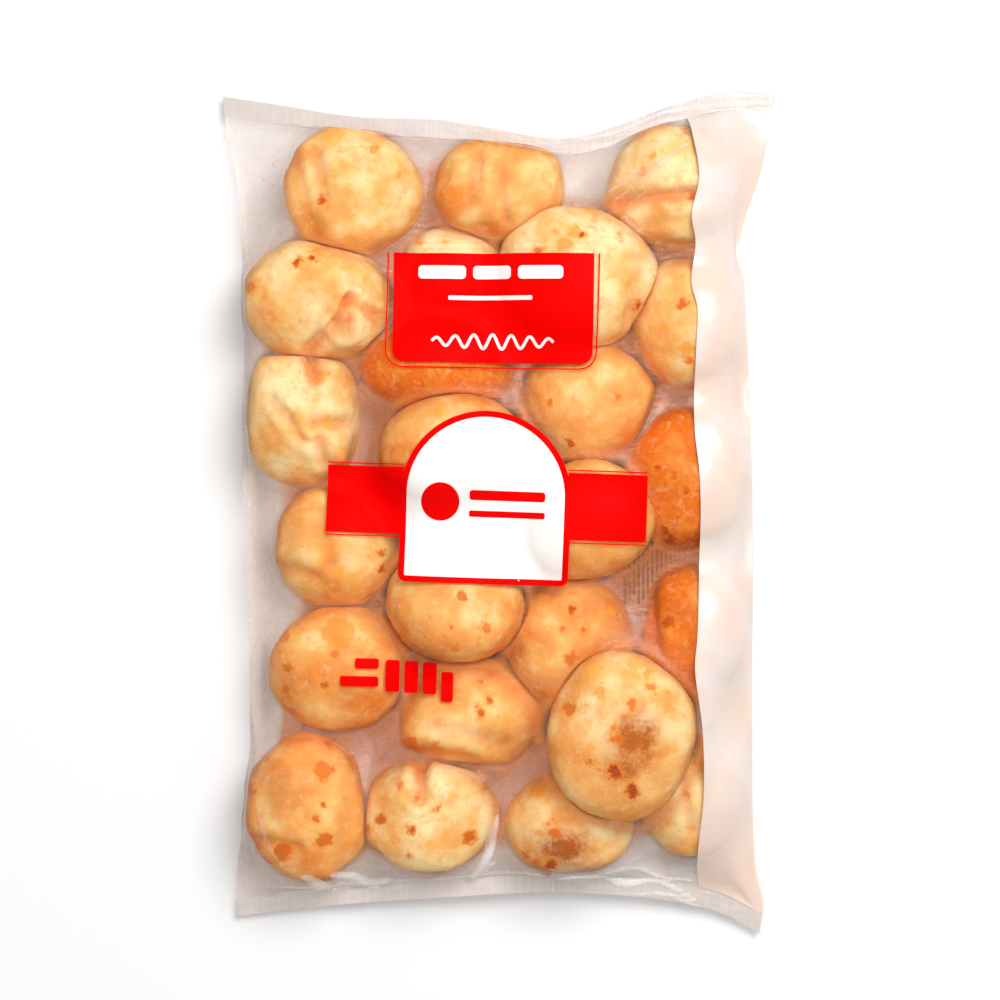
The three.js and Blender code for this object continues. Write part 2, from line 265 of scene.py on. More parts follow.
# The film. Its columns are counted in from the nearer side fold
CELLS_ACROSS = 168
CELLS_ALONG = 252
FILM_ATTRIBUTES = ("bare", "wide", "crevice", "band", "steep", "crease", "loft")
CREASE_POINTS = 40  # along a crease of the table above
CREASE_SLANT = 40  # of the fine creases from straight across, degrees
WRINKLE_COLUMNS = 24  # where the fine creases are at their full height
BARE_EDGE = 1.6  # over which ground with no ball on it begins, mm
GAP_REACH = 12  # over which open ground is averaged to tell a wide gap from a narrow one, mm
GAP_GROWTH = 6  # map cells by which a gap's middle is then carried outwards
GAP_EDGE = 4  # over which the result is smoothed, mm
MARGIN_COLUMNS = (26, 13)  # between which the margin comes to count as wide open ground
MARGIN_SHARE = 0.52  # how wide it counts
FOLD_COLUMNS = (16, 7)  # between which steep film comes to count as the bag's side
AIR = (0.3, 5)  # heights of the film off a ball between which fine creases set in, mm
LOFT = (0.8, 9)  # the same for its veil
FILM_ROOM = 0.45  # the film's upper side over the balls' height map, mm
OPEN_GROUND = 5.0  # where no ball's crown is this high, the ground shows, mm
WELD_GAP = 0.35  # between the two films in a welded end, so that they stay two surfaces, mm
UNDER_ROLL = 9  # how far in from a side fold the lower film reaches the ground, mm
UNDER_END_ROLL = 17  # the same, from a welded band
DOUBLED_FROM = (18, -123.5)  # right of and below this place the film lies double, x and y in mm

# The side strip, and the ink of the print
STRIP_END_ROWS = 6  # rows of the film short of each end where the strip stops
STRIP_BACK_COLUMNS = 34  # how many of the film's columns the strip covers on the lower side
STRIP_LIFT = 0.15  # of the strip's inner skin over the film, mm
STRIP_THICKNESS = 0.09
STRIP_COLUMNS = 70  # grid cells from the strip's front edge to the side fold, and on to its back edge
STRIP_NEAR = 0.86  # share of the film's columns near which its wavy edge lies
INK_LIFT = 0.16  # of the lowest ink layer over the film, mm
INK_LAYER = 0.06  # from one ink layer to the next, mm

# The print: places, sizes and widths of lines in mm, tilts in degrees
LABEL_AT = (-2.1, 70.8)  # middle of the name panel
LABEL_SIZE = (69.2, 38.0)
LABEL_RADIUS = 4.2  # of its two lower corners
LABEL_TILT = -0.8
# The bars of the label, the badge and the weight, each from x to x and from y to y about the figure's middle
LABEL_BARS = [(-26, -9.5, 10.1, 14.7), (-7, 6, 10.1, 14.7), (8.5, 24, 10.1, 14.7), (-15.5, 13.5, 2.85, 4.35)]
BADGE_AT = (-4.6, 5.9)  # centre of the badge's arch
BADGE_TILT = -2.0
BADGE_RADIUS = 28.2  # of the arch's red line, along its middle
BADGE_DROP = 29.2  # from the arch's centre to the line along its foot
BADGE_LINE = 2.1
BADGE_DISC = 6.6  # radius
BADGE_DISC_AT = (-15.5, -2.4)
BADGE_BARS = [(-5.5, 20.5, -1.5, 1.9), (-5.5, 20.5, -7.3, -5.1)]
BAND_LEFT, BAND_RIGHT = -54.8, 55.6
BAND_LOW, BAND_HIGH = -14.1, 9.0
BAND_LINE_OFF = 0.9  # from the band's edge to the middle of the thin line beside it
BAND_LINE = 0.45
WEIGHT_AT = (-34, -58.5)
WEIGHT_TILT = -1.5
WEIGHT_BARS = [(-15.8, -7.6, 4.6, 8.2), (-20.8, -7.6, -1.6, 2.0), (-5.2, -0.4, -3.4, 7.8),
               (1.2, 6.0, -3.6, 7.6), (7.6, 12.4, -3.8, 7.4), (14.0, 18.2, -6.2, 4.2)]
BACK_ROWS = 14  # rows of small print on the lower film
BACK_ROW_WIDTH = 0.95
BACK_ROW_STEP = 1.6  # from one row to the next, mm
BACK_ROWS_AT = (44.5, -21)  # middle of the first row, mm

# The crumbs, the paper, the camera and the height maps
CRUMBS = 900  # at most
CRUMB_MARGIN = 14  # round the bag's box where no crumb lies, mm
CRUMB_CENTRE = (-20, -5)  # where crumbs gather, mm
CRUMB_SPREAD = (60, 80)  # how far they spread from there, mm
PAPER_REACH = 1500  # from the paper's middle to its edges, mm
PAPER_POINTS = 5  # of its grid, each way
VIEW_WIDTH = 350  # of ground that the camera takes in, mm
VIEW_LEVEL = 12  # height at which it takes that in, mm
VIEW_MIDDLE = (0.35, 4.55)
CAMERA_HEIGHT = 1500  # mm
SENSOR_WIDTH = 36  # mm
MAP_CELL = 1.0  # cell of the height maps, mm
MAP_MARGIN = 8  # ground that the height maps cover beyond the bag, mm


# --- Numbers and grids -------------------------------------------------------------------------------------

def linear(hex_colour):
    """The linear RGBA of an sRGB hex colour."""
    value = int(hex_colour.lstrip("#"), 16)
    shares = [(value >> shift & 255) / 255 for shift in (16, 8, 0)]
    return tuple(c / 12.92 if c <= 0.04045 else ((c + 0.055) / 1.055) ** 2.4 for c in shares) + (1.0,)


def smoothstep(low, high, value):
    """0 below low, 1 above high, and 3 t^2 - 2 t^3 of the share t between them."""
    t = np.clip((value - low) / (high - low), 0, 1)
    return t * t * (3 - 2 * t)


def soft_min(a, b, blend):
    """The lower of a and b, rounded where they are nearer to each other than blend."""
    near = np.clip(1 - np.abs(a - b) / blend, 0, 1)
    return np.minimum(a, b) - near * near * blend / 4


def noise(points, size, seed):
    """A smooth random value from -1 to 1: each corner of a lattice with cells of this size holds a random
    number, and a point blends its cell's eight by the smootherstep of its place between them."""
    place = np.asarray(points, float) / size + 17.13 * seed + 100
    cell = np.floor(place).astype(np.int64)
    part = place - cell
    ease = part ** 3 * (part * (6 * part - 15) + 10)
    total = np.zeros(place.shape[:-1])
    for corner in range(8):
        key = np.zeros(place.shape[:-1], np.int64)
        share = np.ones(place.shape[:-1])
        for axis, prime in enumerate((73856093, 19349663, 83492791)):
            bit = corner >> axis & 1
            key += (cell[..., axis] + bit) * prime
            share = share * (ease[..., axis] if bit else 1 - ease[..., axis])
        key = ((key ^ key >> 13) & 0x7FFFFFF) * 1274126177 & 0x7FFFFFFF
        key = ((key ^ key >> 15) * 668265263 & 0x7FFFFFFF) >> 8
        total += share * (key / float(0x7FFFFF >> 1) - 1)
    return total


def ridges(points, size, seed):
    """Sharp crests on smooth ground, 0 to 1: one less twice the size of the noise, to the power of 2."""
    return (1 - np.clip(np.abs(noise(points, size, seed)) * 2, 0, 1)) ** 2


def curve(points, shares):
    """Places at shares 0 to 1 along the uniform Catmull-Rom curve through the points."""
    knots = np.array(points, float)
    last = len(knots) - 1
    at = np.clip(shares, 0, 1) * last
    k = np.minimum(at.astype(int), last - 1)
    t = (at - k)[:, None]
    before, here, there, after = (knots[np.clip(k + step, 0, last)] for step in (-1, 0, 1, 2))
    leave, arrive = (there - before) / 2, (after - here) / 2
    cubic = 2 * (here - there) + leave + arrive
    square = 3 * (there - here) - 2 * leave - arrive
    return ((cubic * t + square) * t + leave) * t + here


def evenly(points, count):
    """So many places at even distances along the curve through the points."""
    fine = curve(points, np.linspace(0, 1, 400))
    run = np.append(0, np.cumsum(np.linalg.norm(np.diff(fine, axis=0), axis=1)))
    at = np.linspace(0, run[-1], count)
    return np.stack([np.interp(at, run, fine[:, axis]) for axis in (0, 1)], axis=1)


def lines_to(points, x, y):
    """How far plan places x, y lie from the segment between two points."""
    (x0, y0), (x1, y1) = points
    run = np.array((x1 - x0, y1 - y0), float)
    share = np.clip(((x - x0) * run[0] + (y - y0) * run[1]) / (run @ run), 0, 1)
    return np.hypot(x - x0 - share * run[0], y - y0 - share * run[1])


def sample(field, x, y):
    """A height map's value at plan places, blended from its four nearest cells."""
    column = np.clip((x - MAP_LOW[0]) / MAP_CELL, 0, field.shape[1] - 1.001)
    row = np.clip((y - MAP_LOW[1]) / MAP_CELL, 0, field.shape[0] - 1.001)
    i, j = column.astype(int), row.astype(int)
    s, t = column - i, row - j
    low = field[j, i] * (1 - s) + field[j, i + 1] * s
    high = field[j + 1, i] * (1 - s) + field[j + 1, i + 1] * s
    return low * (1 - t) + high * t


BAG_LOW, BAG_HIGH = (np.array(corner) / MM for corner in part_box(CAD_NODE))
MAP_LOW = BAG_LOW[:2] - MAP_MARGIN
MAP_SHAPE = tuple(int(n) for n in np.ceil((BAG_HIGH[1::-1] - BAG_LOW[1::-1] + 2 * MAP_MARGIN) / MAP_CELL) + 1)


# --- Meshes ------------------------------------------------------------------------------------------------

def new_piece(name, points, faces, material, attributes=None, uv=None):
    """A smooth mesh object from points in mm and lists of quads and triangles, riding on the body.
    attributes hold one number for each point, uv two numbers in metres for each point."""
    mesh = bpy.data.meshes.new(name)
    sizes = np.concatenate([np.full(len(block), block.shape[1]) for block in faces])
    corners = np.concatenate([block.ravel() for block in faces])
    mesh.vertices.add(len(points))
    mesh.vertices.foreach_set("co", (np.asarray(points, float) * MM).ravel())
    mesh.loops.add(len(corners))
    mesh.loops.foreach_set("vertex_index", corners.astype(np.int32))
    mesh.polygons.add(len(sizes))
    mesh.polygons.foreach_set("loop_start", np.concatenate([[0], np.cumsum(sizes)[:-1]]).astype(np.int32))
    mesh.polygons.foreach_set("use_smooth", np.ones(len(sizes), bool))
    mesh.update(calc_edges=True)
    mesh.validate()
    mesh.set_sharp_from_angle(angle=SHARP_FROM)
    for label, values in (attributes or {}).items():
        layer = mesh.attributes.new(label, "FLOAT", "POINT")
        layer.data.foreach_set("value", np.asarray(values, float).ravel())
    if uv is not None:
        layer = mesh.uv_layers.new(name="flat")
        layer.data.foreach_set("uv", np.asarray(uv, float)[corners].ravel())
    mesh.materials.append(material)
    piece = bpy.data.objects.new(name, mesh)
    bpy.context.scene.collection.objects.link(piece)
    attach(piece, BODY)
    return piece


def grid_quads(index, flip=False, ring=False):
    """The quads of a grid of point numbers, facing up for rows along +Y and columns along +X."""
    index = np.concatenate([index, index[:1]]) if ring else index
    a, b, c, d = index[:-1, :-1], index[:-1, 1:], index[1:, 1:], index[1:, :-1]
    order = (a, d, c, b) if flip else (a, b, c, d)
    return np.stack([corner.ravel() for corner in order], axis=1)


def closed_sheet(upper, lower, ring=False):
    """Points and quads of one closed skin from two grids of the same shape: the upper one facing up, the lower
    one facing down, and a wall round their rim. In a ring the last row meets the first one."""
    rows, columns = upper.shape[:2]
    top = np.arange(rows * columns).reshape(rows, columns)
    bottom = top + rows * columns
    blocks = [grid_quads(top, ring=ring), grid_quads(bottom, flip=True, ring=ring)]
    if ring:
        rims = [(top[:, 0], bottom[:, 0], False), (top[:, -1], bottom[:, -1], True)]
        rims = [(np.append(a, a[0]), np.append(b, b[0]), turn) for a, b, turn in rims]
    else:
        walk = np.concatenate([top[0, :-1], top[:-1, -1], top[-1, :0:-1], top[:0:-1, 0], top[0, :1]])
        rims = [(walk, walk + rows * columns, True)]
    for a, b, turn in rims:
        wall = np.stack([a, b], axis=1)
        blocks.append(grid_quads(wall, flip=not turn))
    return np.concatenate([upper.reshape(-1, 3), lower.reshape(-1, 3)]), [np.concatenate(blocks)]


def add(tree, kind, inputs=(), out=0, **settings):
    """Adds a node of a kind with its settings and its inputs, listed in order or by name, each a value or
    another node's output. Gives the node's output asked for, or with None the node itself."""
    new = tree.nodes.new("ShaderNode" + kind)
    for name, value in settings.items():
        setattr(new, name, value)
    for name, value in inputs.items() if isinstance(inputs, dict) else enumerate(inputs):
        if isinstance(value, bpy.types.NodeSocket):
            tree.links.new(value, new.inputs[name])
        else:
            new.inputs[name].default_value = value
    return new if out is None else new.outputs[out]


def new_material(name):
    """An empty material of this name and its node tree."""
    material = bpy.data.materials.new(name)
    material.use_nodes = True
    material.node_tree.nodes.clear()
    return material, material.node_tree


# --- Materials ---------------------------------------------------------------------------------------------

def crust_material(look):
    """Cheese bread crust, a sour cassava starch dough with cheese, baked on a tray: pale and matt where the
    dough swelled, golden to orange where it took more heat, with darker blisters of browned cheese. Painted
    shade also turns it more orange on the side away from the light and in its folds. Its colour is laid on in
    layers, each the share that it covers and its own colour."""
    material, tree = new_material("baked cheese bread crust")
    place = add(tree, "TexCoord", out="Object")
    reach, strength, toast, fold_shade, side, bake = (
        add(tree, "Attribute", out="Fac", attribute_name=name) for name in BALL_ATTRIBUTES)
    # Slow changes of colour over about a third of a ball
    drift = add(tree, "TexNoise", {"Vector": place, "Scale": 1 / (13 * MM), "Detail": 2.0})
    drift = add(tree, "MapRange", (drift, 0.3, 0.7, -0.28, 0.28))
    # Painted shade: the crust is taken further towards orange the further it faces away from the light
    bake_and_shade = add(tree, "Math", (side, 0.19, bake), operation="MULTIPLY_ADD")
    level = add(tree, "Math", (bake_and_shade, drift), operation="ADD")
    low = add(tree, "MapRange", (level, 0.0, 0.42, 0.0, 1.0))
    high = add(tree, "MapRange", (level, 0.36, 1.0, 0.0, 1.0))
    layers = [(low, look.golden), (high, look.orange)]
    # Mottling of the starch skin, 3 mm across
    pucker = add(tree, "TexNoise", {"Vector": place, "Scale": 1 / (3.4 * MM), "Detail": 3.0, "Roughness": 0.62,
                                    "Distortion": 0.5})
    mottle = add(tree, "MapRange", (pucker, 0.5, 0.72, 0.0, 0.34), interpolation_type="SMOOTHSTEP")
    layers.append((mottle, look.mottled))
    light = add(tree, "MapRange", (pucker, 0.48, 0.26, 0.0, 0.3), interpolation_type="SMOOTHSTEP")
    layers.append((light, look.pale))
    # Ragged patches of cheese that ran and browned, 5 to 10 mm across
    cheese = add(tree, "TexNoise", {"Vector": place, "Scale": 1 / (7.5 * MM), "Detail": 4.0,
                                    "Roughness": 0.68, "Distortion": 0.3})
    cheese = add(tree, "MapRange", (cheese, 0.545, 0.64, 0.0, 0.38))
    layers.append((cheese, look.cheese))
    # Painted shade in the folds of the dough, laid on in orange
    fold_shade = add(tree, "Math", (fold_shade, 0.6), operation="MULTIPLY")
    layers.append((fold_shade, look.orange))
    # Broad toast, stippled where single grains of cheese browned
    stipple = add(tree, "TexNoise", {"Vector": place, "Scale": 1 / (1.3 * MM), "Detail": 2.0,
                                     "Roughness": 0.7})
    stipple = add(tree, "MapRange", (stipple, 0.3, 0.7, 0.75, 1.25))
    smear = add(tree, "TexNoise", {"Vector": place, "Scale": 1 / (6.5 * MM), "Detail": 2.0, "Roughness": 0.6})
    smear = add(tree, "MapRange", (smear, 0.32, 0.68, 0.65, 1.2))
    stipple = add(tree, "Math", (stipple, smear), operation="MULTIPLY")
    toasted = add(tree, "Math", (toast, stipple), operation="MULTIPLY")
    toasted = add(tree, "MapRange", (toasted, 0.02, 1.0, 0.0, 0.95))
    layers.append((toasted, look.toasted))
    # Blisters: an uneven edge 1 mm deep round each, and a colour from golden to brown by its strength
    ragged = add(tree, "TexNoise", {"Vector": place, "Scale": 1 / (2.3 * MM), "Detail": 2.0, "Roughness": 0.5,
                                    "Distortion": 0.4})
    ragged = add(tree, "MapRange", (ragged, 0.3, 0.7, -1.0, 1.0))
    edge = add(tree, "Math", (reach, ragged), operation="ADD")
    inside = add(tree, "MapRange", (edge, 0.35, -0.35, 0.0, 1.0))
    melted = add(tree, "MapRange", (strength, 0.25, 0.5, 0.0, 1.0))
    browning = add(tree, "MapRange", (strength, 0.45, 0.95, 0.0, 1.0))
    browned = look.melted
    for share, ink in ((melted, look.blister), (browning, look.browned)):
        browned = add(tree, "Mix", {0: share, 6: browned, 7: ink}, 2, data_type="RGBA")
    cover = add(tree, "MapRange", (strength, 0.2, 0.8, 0.45, 0.95))
    inside = add(tree, "Math", (inside, cover), operation="MULTIPLY")
    # Round each, cheese that ran out yellow 1.5 mm beyond, and an orange crest on its very edge
    halo = add(tree, "MapRange", (edge, 2.0, 0.3, 0.0, 0.5), interpolation_type="SMOOTHSTEP")
    halo = add(tree, "Math", (halo, strength), operation="MULTIPLY")
    layers.append((halo, look.cheese))
    layers.append((inside, browned))
    crest = add(tree, "Math", (edge,), operation="ABSOLUTE")
    crest = add(tree, "MapRange", (crest, 0.9, 0.1, 0.0, 0.7), interpolation_type="SMOOTHSTEP")
    strong = add(tree, "MapRange", (strength, 0.35, 0.8, 0.0, 0.8))
    crest = add(tree, "Math", (crest, strong), operation="MULTIPLY")
    layers.append((crest, look.blister))
    # Pin-head specks of cheese, one in every few millimetres
    specks = add(tree, "TexVoronoi", {"Vector": place, "Scale": 1 / (4.5 * MM)}, None)
    speck = add(tree, "MapRange", (specks.outputs["Distance"], 0.17, 0.05, 0.0, 1.0))
    chance = add(tree, "SeparateColor", (specks.outputs["Color"],))
    chance = add(tree, "MapRange", (chance, 0.6, 0.75, 0.0, 0.45))
    speck = add(tree, "Math", (speck, chance), operation="MULTIPLY")
    layers.append((speck, look.blister))
    # Frost from the freezer, fine crystals that show most on the sides
    frost = add(tree, "TexNoise", {"Vector": place, "Scale": 1 / (0.55 * MM), "Detail": 1.0})
    frost = add(tree, "MapRange", (frost, 0.62, 0.76, 0.0, 0.4))
    rim = add(tree, "MapRange", (side, 0.35, 0.8, 0.05, 1.0))
    frost = add(tree, "Math", (frost, rim), operation="MULTIPLY")
    layers.append((frost, look.frost))
    colour = look.pale
    for share, ink in layers:
        colour = add(tree, "Mix", {0: share, 6: colour, 7: ink}, 2, data_type="RGBA")
    # Relief: starch skin grain of 0.9 mm, and blisters that stand a little proud
    skin = add(tree, "TexNoise", {"Vector": place, "Scale": 1 / (0.9 * MM), "Detail": 2.0, "Roughness": 0.6})
    height = add(tree, "Math", (inside, 0.8, skin), operation="MULTIPLY_ADD")
    height = add(tree, "Math", (pucker, 3.2, height), operation="MULTIPLY_ADD")
    bump = add(tree, "Bump", {"Height": height, "Distance": 0.22 * MM, "Strength": 0.6})
    rough = add(tree, "MapRange", (skin, 0.2, 0.8, 0.5, 0.72))
    shader = add(tree, "BsdfPrincipled", {
        "Base Color": colour, "Roughness": rough, "Normal": bump, "IOR": 1.45,
        "Specular IOR Level": 0.15,
        "Subsurface Weight": 0.36, "Subsurface Radius": (1.0, 0.45, 0.14), "Subsurface Scale": 5.5 * MM})
    add(tree, "OutputMaterial", (shader,), None)
    return material


def film_material(look):
    """Clear cast polypropylene film with a light frost inside from cold and crumbs. It is clear where it lies
    on a ball, and milky where air is under it, where it stands steep, and where two films are welded. Its haze
    is the share of light that it scatters, a sum of what each place adds. Its colour holds painted light:
    shade in gaps and on steep sides, highlights along creases, and warmth near the balls."""
    material, tree = new_material("clear cast polypropylene film")
    flat = add(tree, "UVMap", out=0)
    place = add(tree, "TexCoord", out="Object")
    bare, wide, crevice, band, steep, crease, loft = (
        add(tree, "Attribute", out="Fac", attribute_name=name) for name in FILM_ATTRIBUTES)
    haze = add(tree, "MapRange", (bare, 0.0, 0.55, look.haze_on_ball, look.haze_over_air))
    # It veils a ball's sides, from which it stands off
    haze = add(tree, "Math", (loft, look.haze_of_loft, haze), operation="MULTIPLY_ADD")
    # Crumb dust and painted shade, warm with light bounced off the balls, where the film spans a narrow gap
    narrow_share = add(tree, "MapRange", (wide, 0.5, 0.36, 0.0, 1.0), interpolation_type="SMOOTHSTEP")
    open_air = add(tree, "MapRange", (bare, 0.0, 0.45, 0.0, 1.0))
    dust_and_shade = add(tree, "Math", (narrow_share, open_air), operation="MULTIPLY")
    haze = add(tree, "Math", (dust_and_shade, 0.12, haze), operation="MULTIPLY_ADD")
    # Frost in soft clouds of 9 mm and fine crystals of 0.7 mm
    cloud = add(tree, "TexNoise", {"Vector": place, "Scale": 1 / (9 * MM), "Detail": 2.0})
    veil = add(tree, "MapRange", (cloud, 0.48, 0.68, 0.0, look.haze_in_veils))
    cloud = add(tree, "MapRange", (cloud, 0.3, 0.7, 0.85, 1.15))
    haze = add(tree, "Math", (haze, cloud, veil), operation="MULTIPLY_ADD")
    frost = add(tree, "TexNoise", {"Vector": place, "Scale": 1 / (0.6 * MM), "Detail": 2.0, "Roughness": 0.7})
    frost = add(tree, "MapRange", (frost, 0.59, 0.68, 0.0, 0.12))
    frost = add(tree, "Math", (frost, dust_and_shade), operation="MULTIPLY")
    haze = add(tree, "Math", (haze, frost), operation="ADD")
    slope = add(tree, "MapRange", (steep, 0.35, 0.95, 0.0, 0.22), interpolation_type="SMOOTHSTEP")
    haze = add(tree, "Math", (haze, slope), operation="ADD")
    # Where two balls meet: painted shade in the orange of light bounced between them, and thicker haze
    haze = add(tree, "Math", (crevice, 0.55, haze), operation="MULTIPLY_ADD")
    # The crimp of the weld, streaks 1.5 mm apart that run along the bag
    crimp = add(tree, "Mapping", {"Vector": flat, "Scale": (1.0, 0.06, 1.0)})
    crimp = add(tree, "TexNoise", {"Vector": crimp, "Scale": 1 / (1.5 * MM), "Detail": 1.0},
                noise_dimensions="2D")
    crimp = add(tree, "MapRange", (crimp, 0.35, 0.65, 0.92, 1.08))
    weld = add(tree, "Math", (crimp, look.haze_of_weld), operation="MULTIPLY")
    haze = add(tree, "Math", (band, weld, haze), operation="MULTIPLY_ADD")
    streak = add(tree, "TexNoise", {"Vector": flat, "Scale": 1 / (1.6 * MM), "Detail": 2.0, "Roughness": 0.6})
    streak = add(tree, "MapRange", (streak, 0.3, 0.7, 0.68, 1.0))
    # Painted highlight: a crease shines along both its flanks, and a little between them
    fold_line = add(tree, "Math", (crease, streak), operation="MULTIPLY")
    flank = add(tree, "Math", (fold_line, -0.42), operation="ADD")
    flank = add(tree, "Math", (flank,), operation="ABSOLUTE")
    flank = add(tree, "MapRange", (flank, 0.2, 0.05, 0.0, 0.36), interpolation_type="SMOOTHSTEP")
    between = add(tree, "MapRange", (fold_line, 0.18, 0.75, 0.0, 0.5), interpolation_type="SMOOTHSTEP")
    glint = add(tree, "Math", (flank, between), operation="MAXIMUM")
    haze = add(tree, "Math", (haze, glint), operation="ADD", use_clamp=True)
    # The film's colour, in layers: warmer near the balls for the light that they throw on it, painted shade in
    # narrow gaps, where balls meet and where it stands steep, its welds, and painted highlights along creases,
    # with the frost
    near = add(tree, "MapRange", (wide, 0.8, 0.35, 0.0, 1.0), interpolation_type="SMOOTHSTEP")
    crevice_shade = add(tree, "MapRange", (crevice, 0.0, 0.4, 0.0, 1.0))
    # Painted shade: the film is darker grey where it stands steep at the bag's sides
    fold_shade = add(tree, "MapRange", (steep, 0.35, 0.8, 0.0, 1.0), interpolation_type="SMOOTHSTEP")
    highlight_and_frost = add(tree, "Math", (glint, frost), operation="ADD", use_clamp=True)
    colour = look.film
    for share, ink in ((near, look.film_warm), (narrow_share, look.dust_and_shade), (crevice_shade, look.crevice), (fold_shade, look.film_side),
                       (band, look.weld), (highlight_and_frost, look.glint)):
        colour = add(tree, "Mix", {0: share, 6: colour, 7: ink}, 2, data_type="RGBA")
    # Fine drawn wrinkles of the film, 5 mm long and 1.5 mm apart, and its orange-peel
    stretched = add(tree, "Mapping", {"Vector": flat, "Rotation": (0, 0, math.radians(-38)),
                                      "Scale": (1.0, 3.2, 1.0)})
    wrinkle = add(tree, "TexNoise", {"Vector": stretched, "Scale": 1 / (6 * MM), "Detail": 2.0},
                  noise_dimensions="2D")
    peel = add(tree, "TexNoise", {"Vector": flat, "Scale": 1 / (2.2 * MM), "Detail": 1.0},
               noise_dimensions="2D")
    height = add(tree, "Math", (peel, 0.25, wrinkle), operation="MULTIPLY_ADD")
    # Light spreads inside milky film, so that its flanks shine nearly as bright as its flats
    facing = add(tree, "NewGeometry", out="Normal")
    facing = add(tree, "VectorMath", (facing, (0.35, 0.35, 1.0)), operation="MULTIPLY")
    facing = add(tree, "VectorMath", (facing,), operation="NORMALIZE")
    bump = add(tree, "Bump", {"Height": height, "Distance": 0.5 * MM, "Strength": 0.5, "Normal": facing})
    # Frost scatters light forward, so that milky film casts far less shadow than it hides
    shadow = add(tree, "LightPath", out="Is Shadow Ray")
    forward = add(tree, "MapRange", (band, 0.0, 1.0, -0.5, -0.15))
    through = add(tree, "Math", (shadow, forward, 1.0), operation="MULTIPLY_ADD")
    cover = add(tree, "Math", (haze, through), operation="MULTIPLY")
    shader = add(tree, "BsdfPrincipled", {
        "Base Color": colour, "Roughness": 0.26, "IOR": 1.49, "Normal": bump, "Alpha": cover,
        "Coat Weight": 0.4, "Coat Roughness": 0.1})
    add(tree, "OutputMaterial", (shader,), None)
    return material


def strip_material(look):
    """The same film printed white from inside, which hides the balls. A painted glow of their colour warms
    it in soft clouds and towards the bottom end.
    """
    material, tree = new_material("white printed polypropylene film")
    place = add(tree, "TexCoord", out="Object")
    cloud = add(tree, "TexNoise", {"Vector": place, "Scale": 1 / (22 * MM), "Detail": 3.0})
    cloud = add(tree, "MapRange", (cloud, 0.35, 0.65, 0.0, 1.0), interpolation_type="SMOOTHSTEP")
    # Painted light: the balls' colour glowing through, stronger towards the bottom end
    end = add(tree, "SeparateXYZ", (place,), 1)
    end = add(tree, "MapRange", (end, -60 * MM, -130 * MM, 0.0, 1.0), interpolation_type="SMOOTHSTEP")
    warm = add(tree, "Math", (cloud, end), operation="MAXIMUM")
    colour = add(tree, "Mix", {0: warm, 6: look.strip, 7: look.strip_warm}, 2, data_type="RGBA")
    cover = add(tree, "MapRange", (cloud, 0.0, 1.0, 0.97, 0.93))
    peel = add(tree, "TexNoise", {"Vector": place, "Scale": 1 / (3.0 * MM), "Detail": 3.0})
    bump = add(tree, "Bump", {"Height": peel, "Distance": 0.3 * MM, "Strength": 0.35})
    shader = add(tree, "BsdfPrincipled", {
        "Base Color": colour, "Roughness": 0.36, "IOR": 1.49, "Normal": bump, "Alpha": cover,
        "Coat Weight": 0.3, "Coat Roughness": 0.15})
    add(tree, "OutputMaterial", (shader,), None)
    return material


def ink_material(name, ink, thin):
    """Gravure ink on film: flat, satin, and a touch uneven where its cells filled less."""
    material, tree = new_material(name)
    place = add(tree, "TexCoord", out="Object")
    cells = add(tree, "TexNoise", {"Vector": place, "Scale": 1 / (1.1 * MM), "Detail": 4.0, "Roughness": 0.7})
    share = add(tree, "MapRange", (cells, 0.45, 0.8, 0.0, 0.6))
    colour = add(tree, "Mix", {0: share, 6: ink, 7: thin}, 2, data_type="RGBA")
    rough = add(tree, "MapRange", (cells, 0.2, 0.8, 0.46, 0.58))
    bump = add(tree, "Bump", {"Height": cells, "Distance": 0.05 * MM, "Strength": 0.25})
    shader = add(tree, "BsdfPrincipled", {
        "Base Color": colour, "Roughness": rough, "IOR": 1.49, "Specular IOR Level": 0.03, "Normal": bump})
    add(tree, "OutputMaterial", (shader,), None)
    return material


def crumb_material(look):
    """Crumbs of the crust, dry and matt, pale inside and toasted outside."""
    material, tree = new_material("cheese bread crumbs")
    place = add(tree, "TexCoord", out="Object")
    patch = add(tree, "TexNoise", {"Vector": place, "Scale": 1 / (2.5 * MM), "Detail": 2.0})
    patch = add(tree, "MapRange", (patch, 0.35, 0.65, 0.0, 1.0))
    colour = add(tree, "Mix", {0: patch, 6: look.pale, 7: look.orange}, 2, data_type="RGBA")
    shader = add(tree, "BsdfPrincipled", {"Base Color": colour, "Roughness": 0.8, "IOR": 1.45})
    add(tree, "OutputMaterial", (shader,), None)
    return material


def paper_material(look):
    """Matt white seamless paper under the bag."""
    material, tree = new_material("white seamless paper")
    place = add(tree, "TexCoord", out="Object")
    fibre = add(tree, "TexNoise", {"Vector": place, "Scale": 1 / (2 * MM), "Detail": 2.0})
    rough = add(tree, "MapRange", (fibre, 0.0, 1.0, 0.85, 1.0))
    shader = add(tree, "BsdfPrincipled", {"Base Color": look.paper, "Roughness": rough})
    add(tree, "OutputMaterial", (shader,), None)
    return material


# --- Balls -------------------------------------------------------------------------------------------------

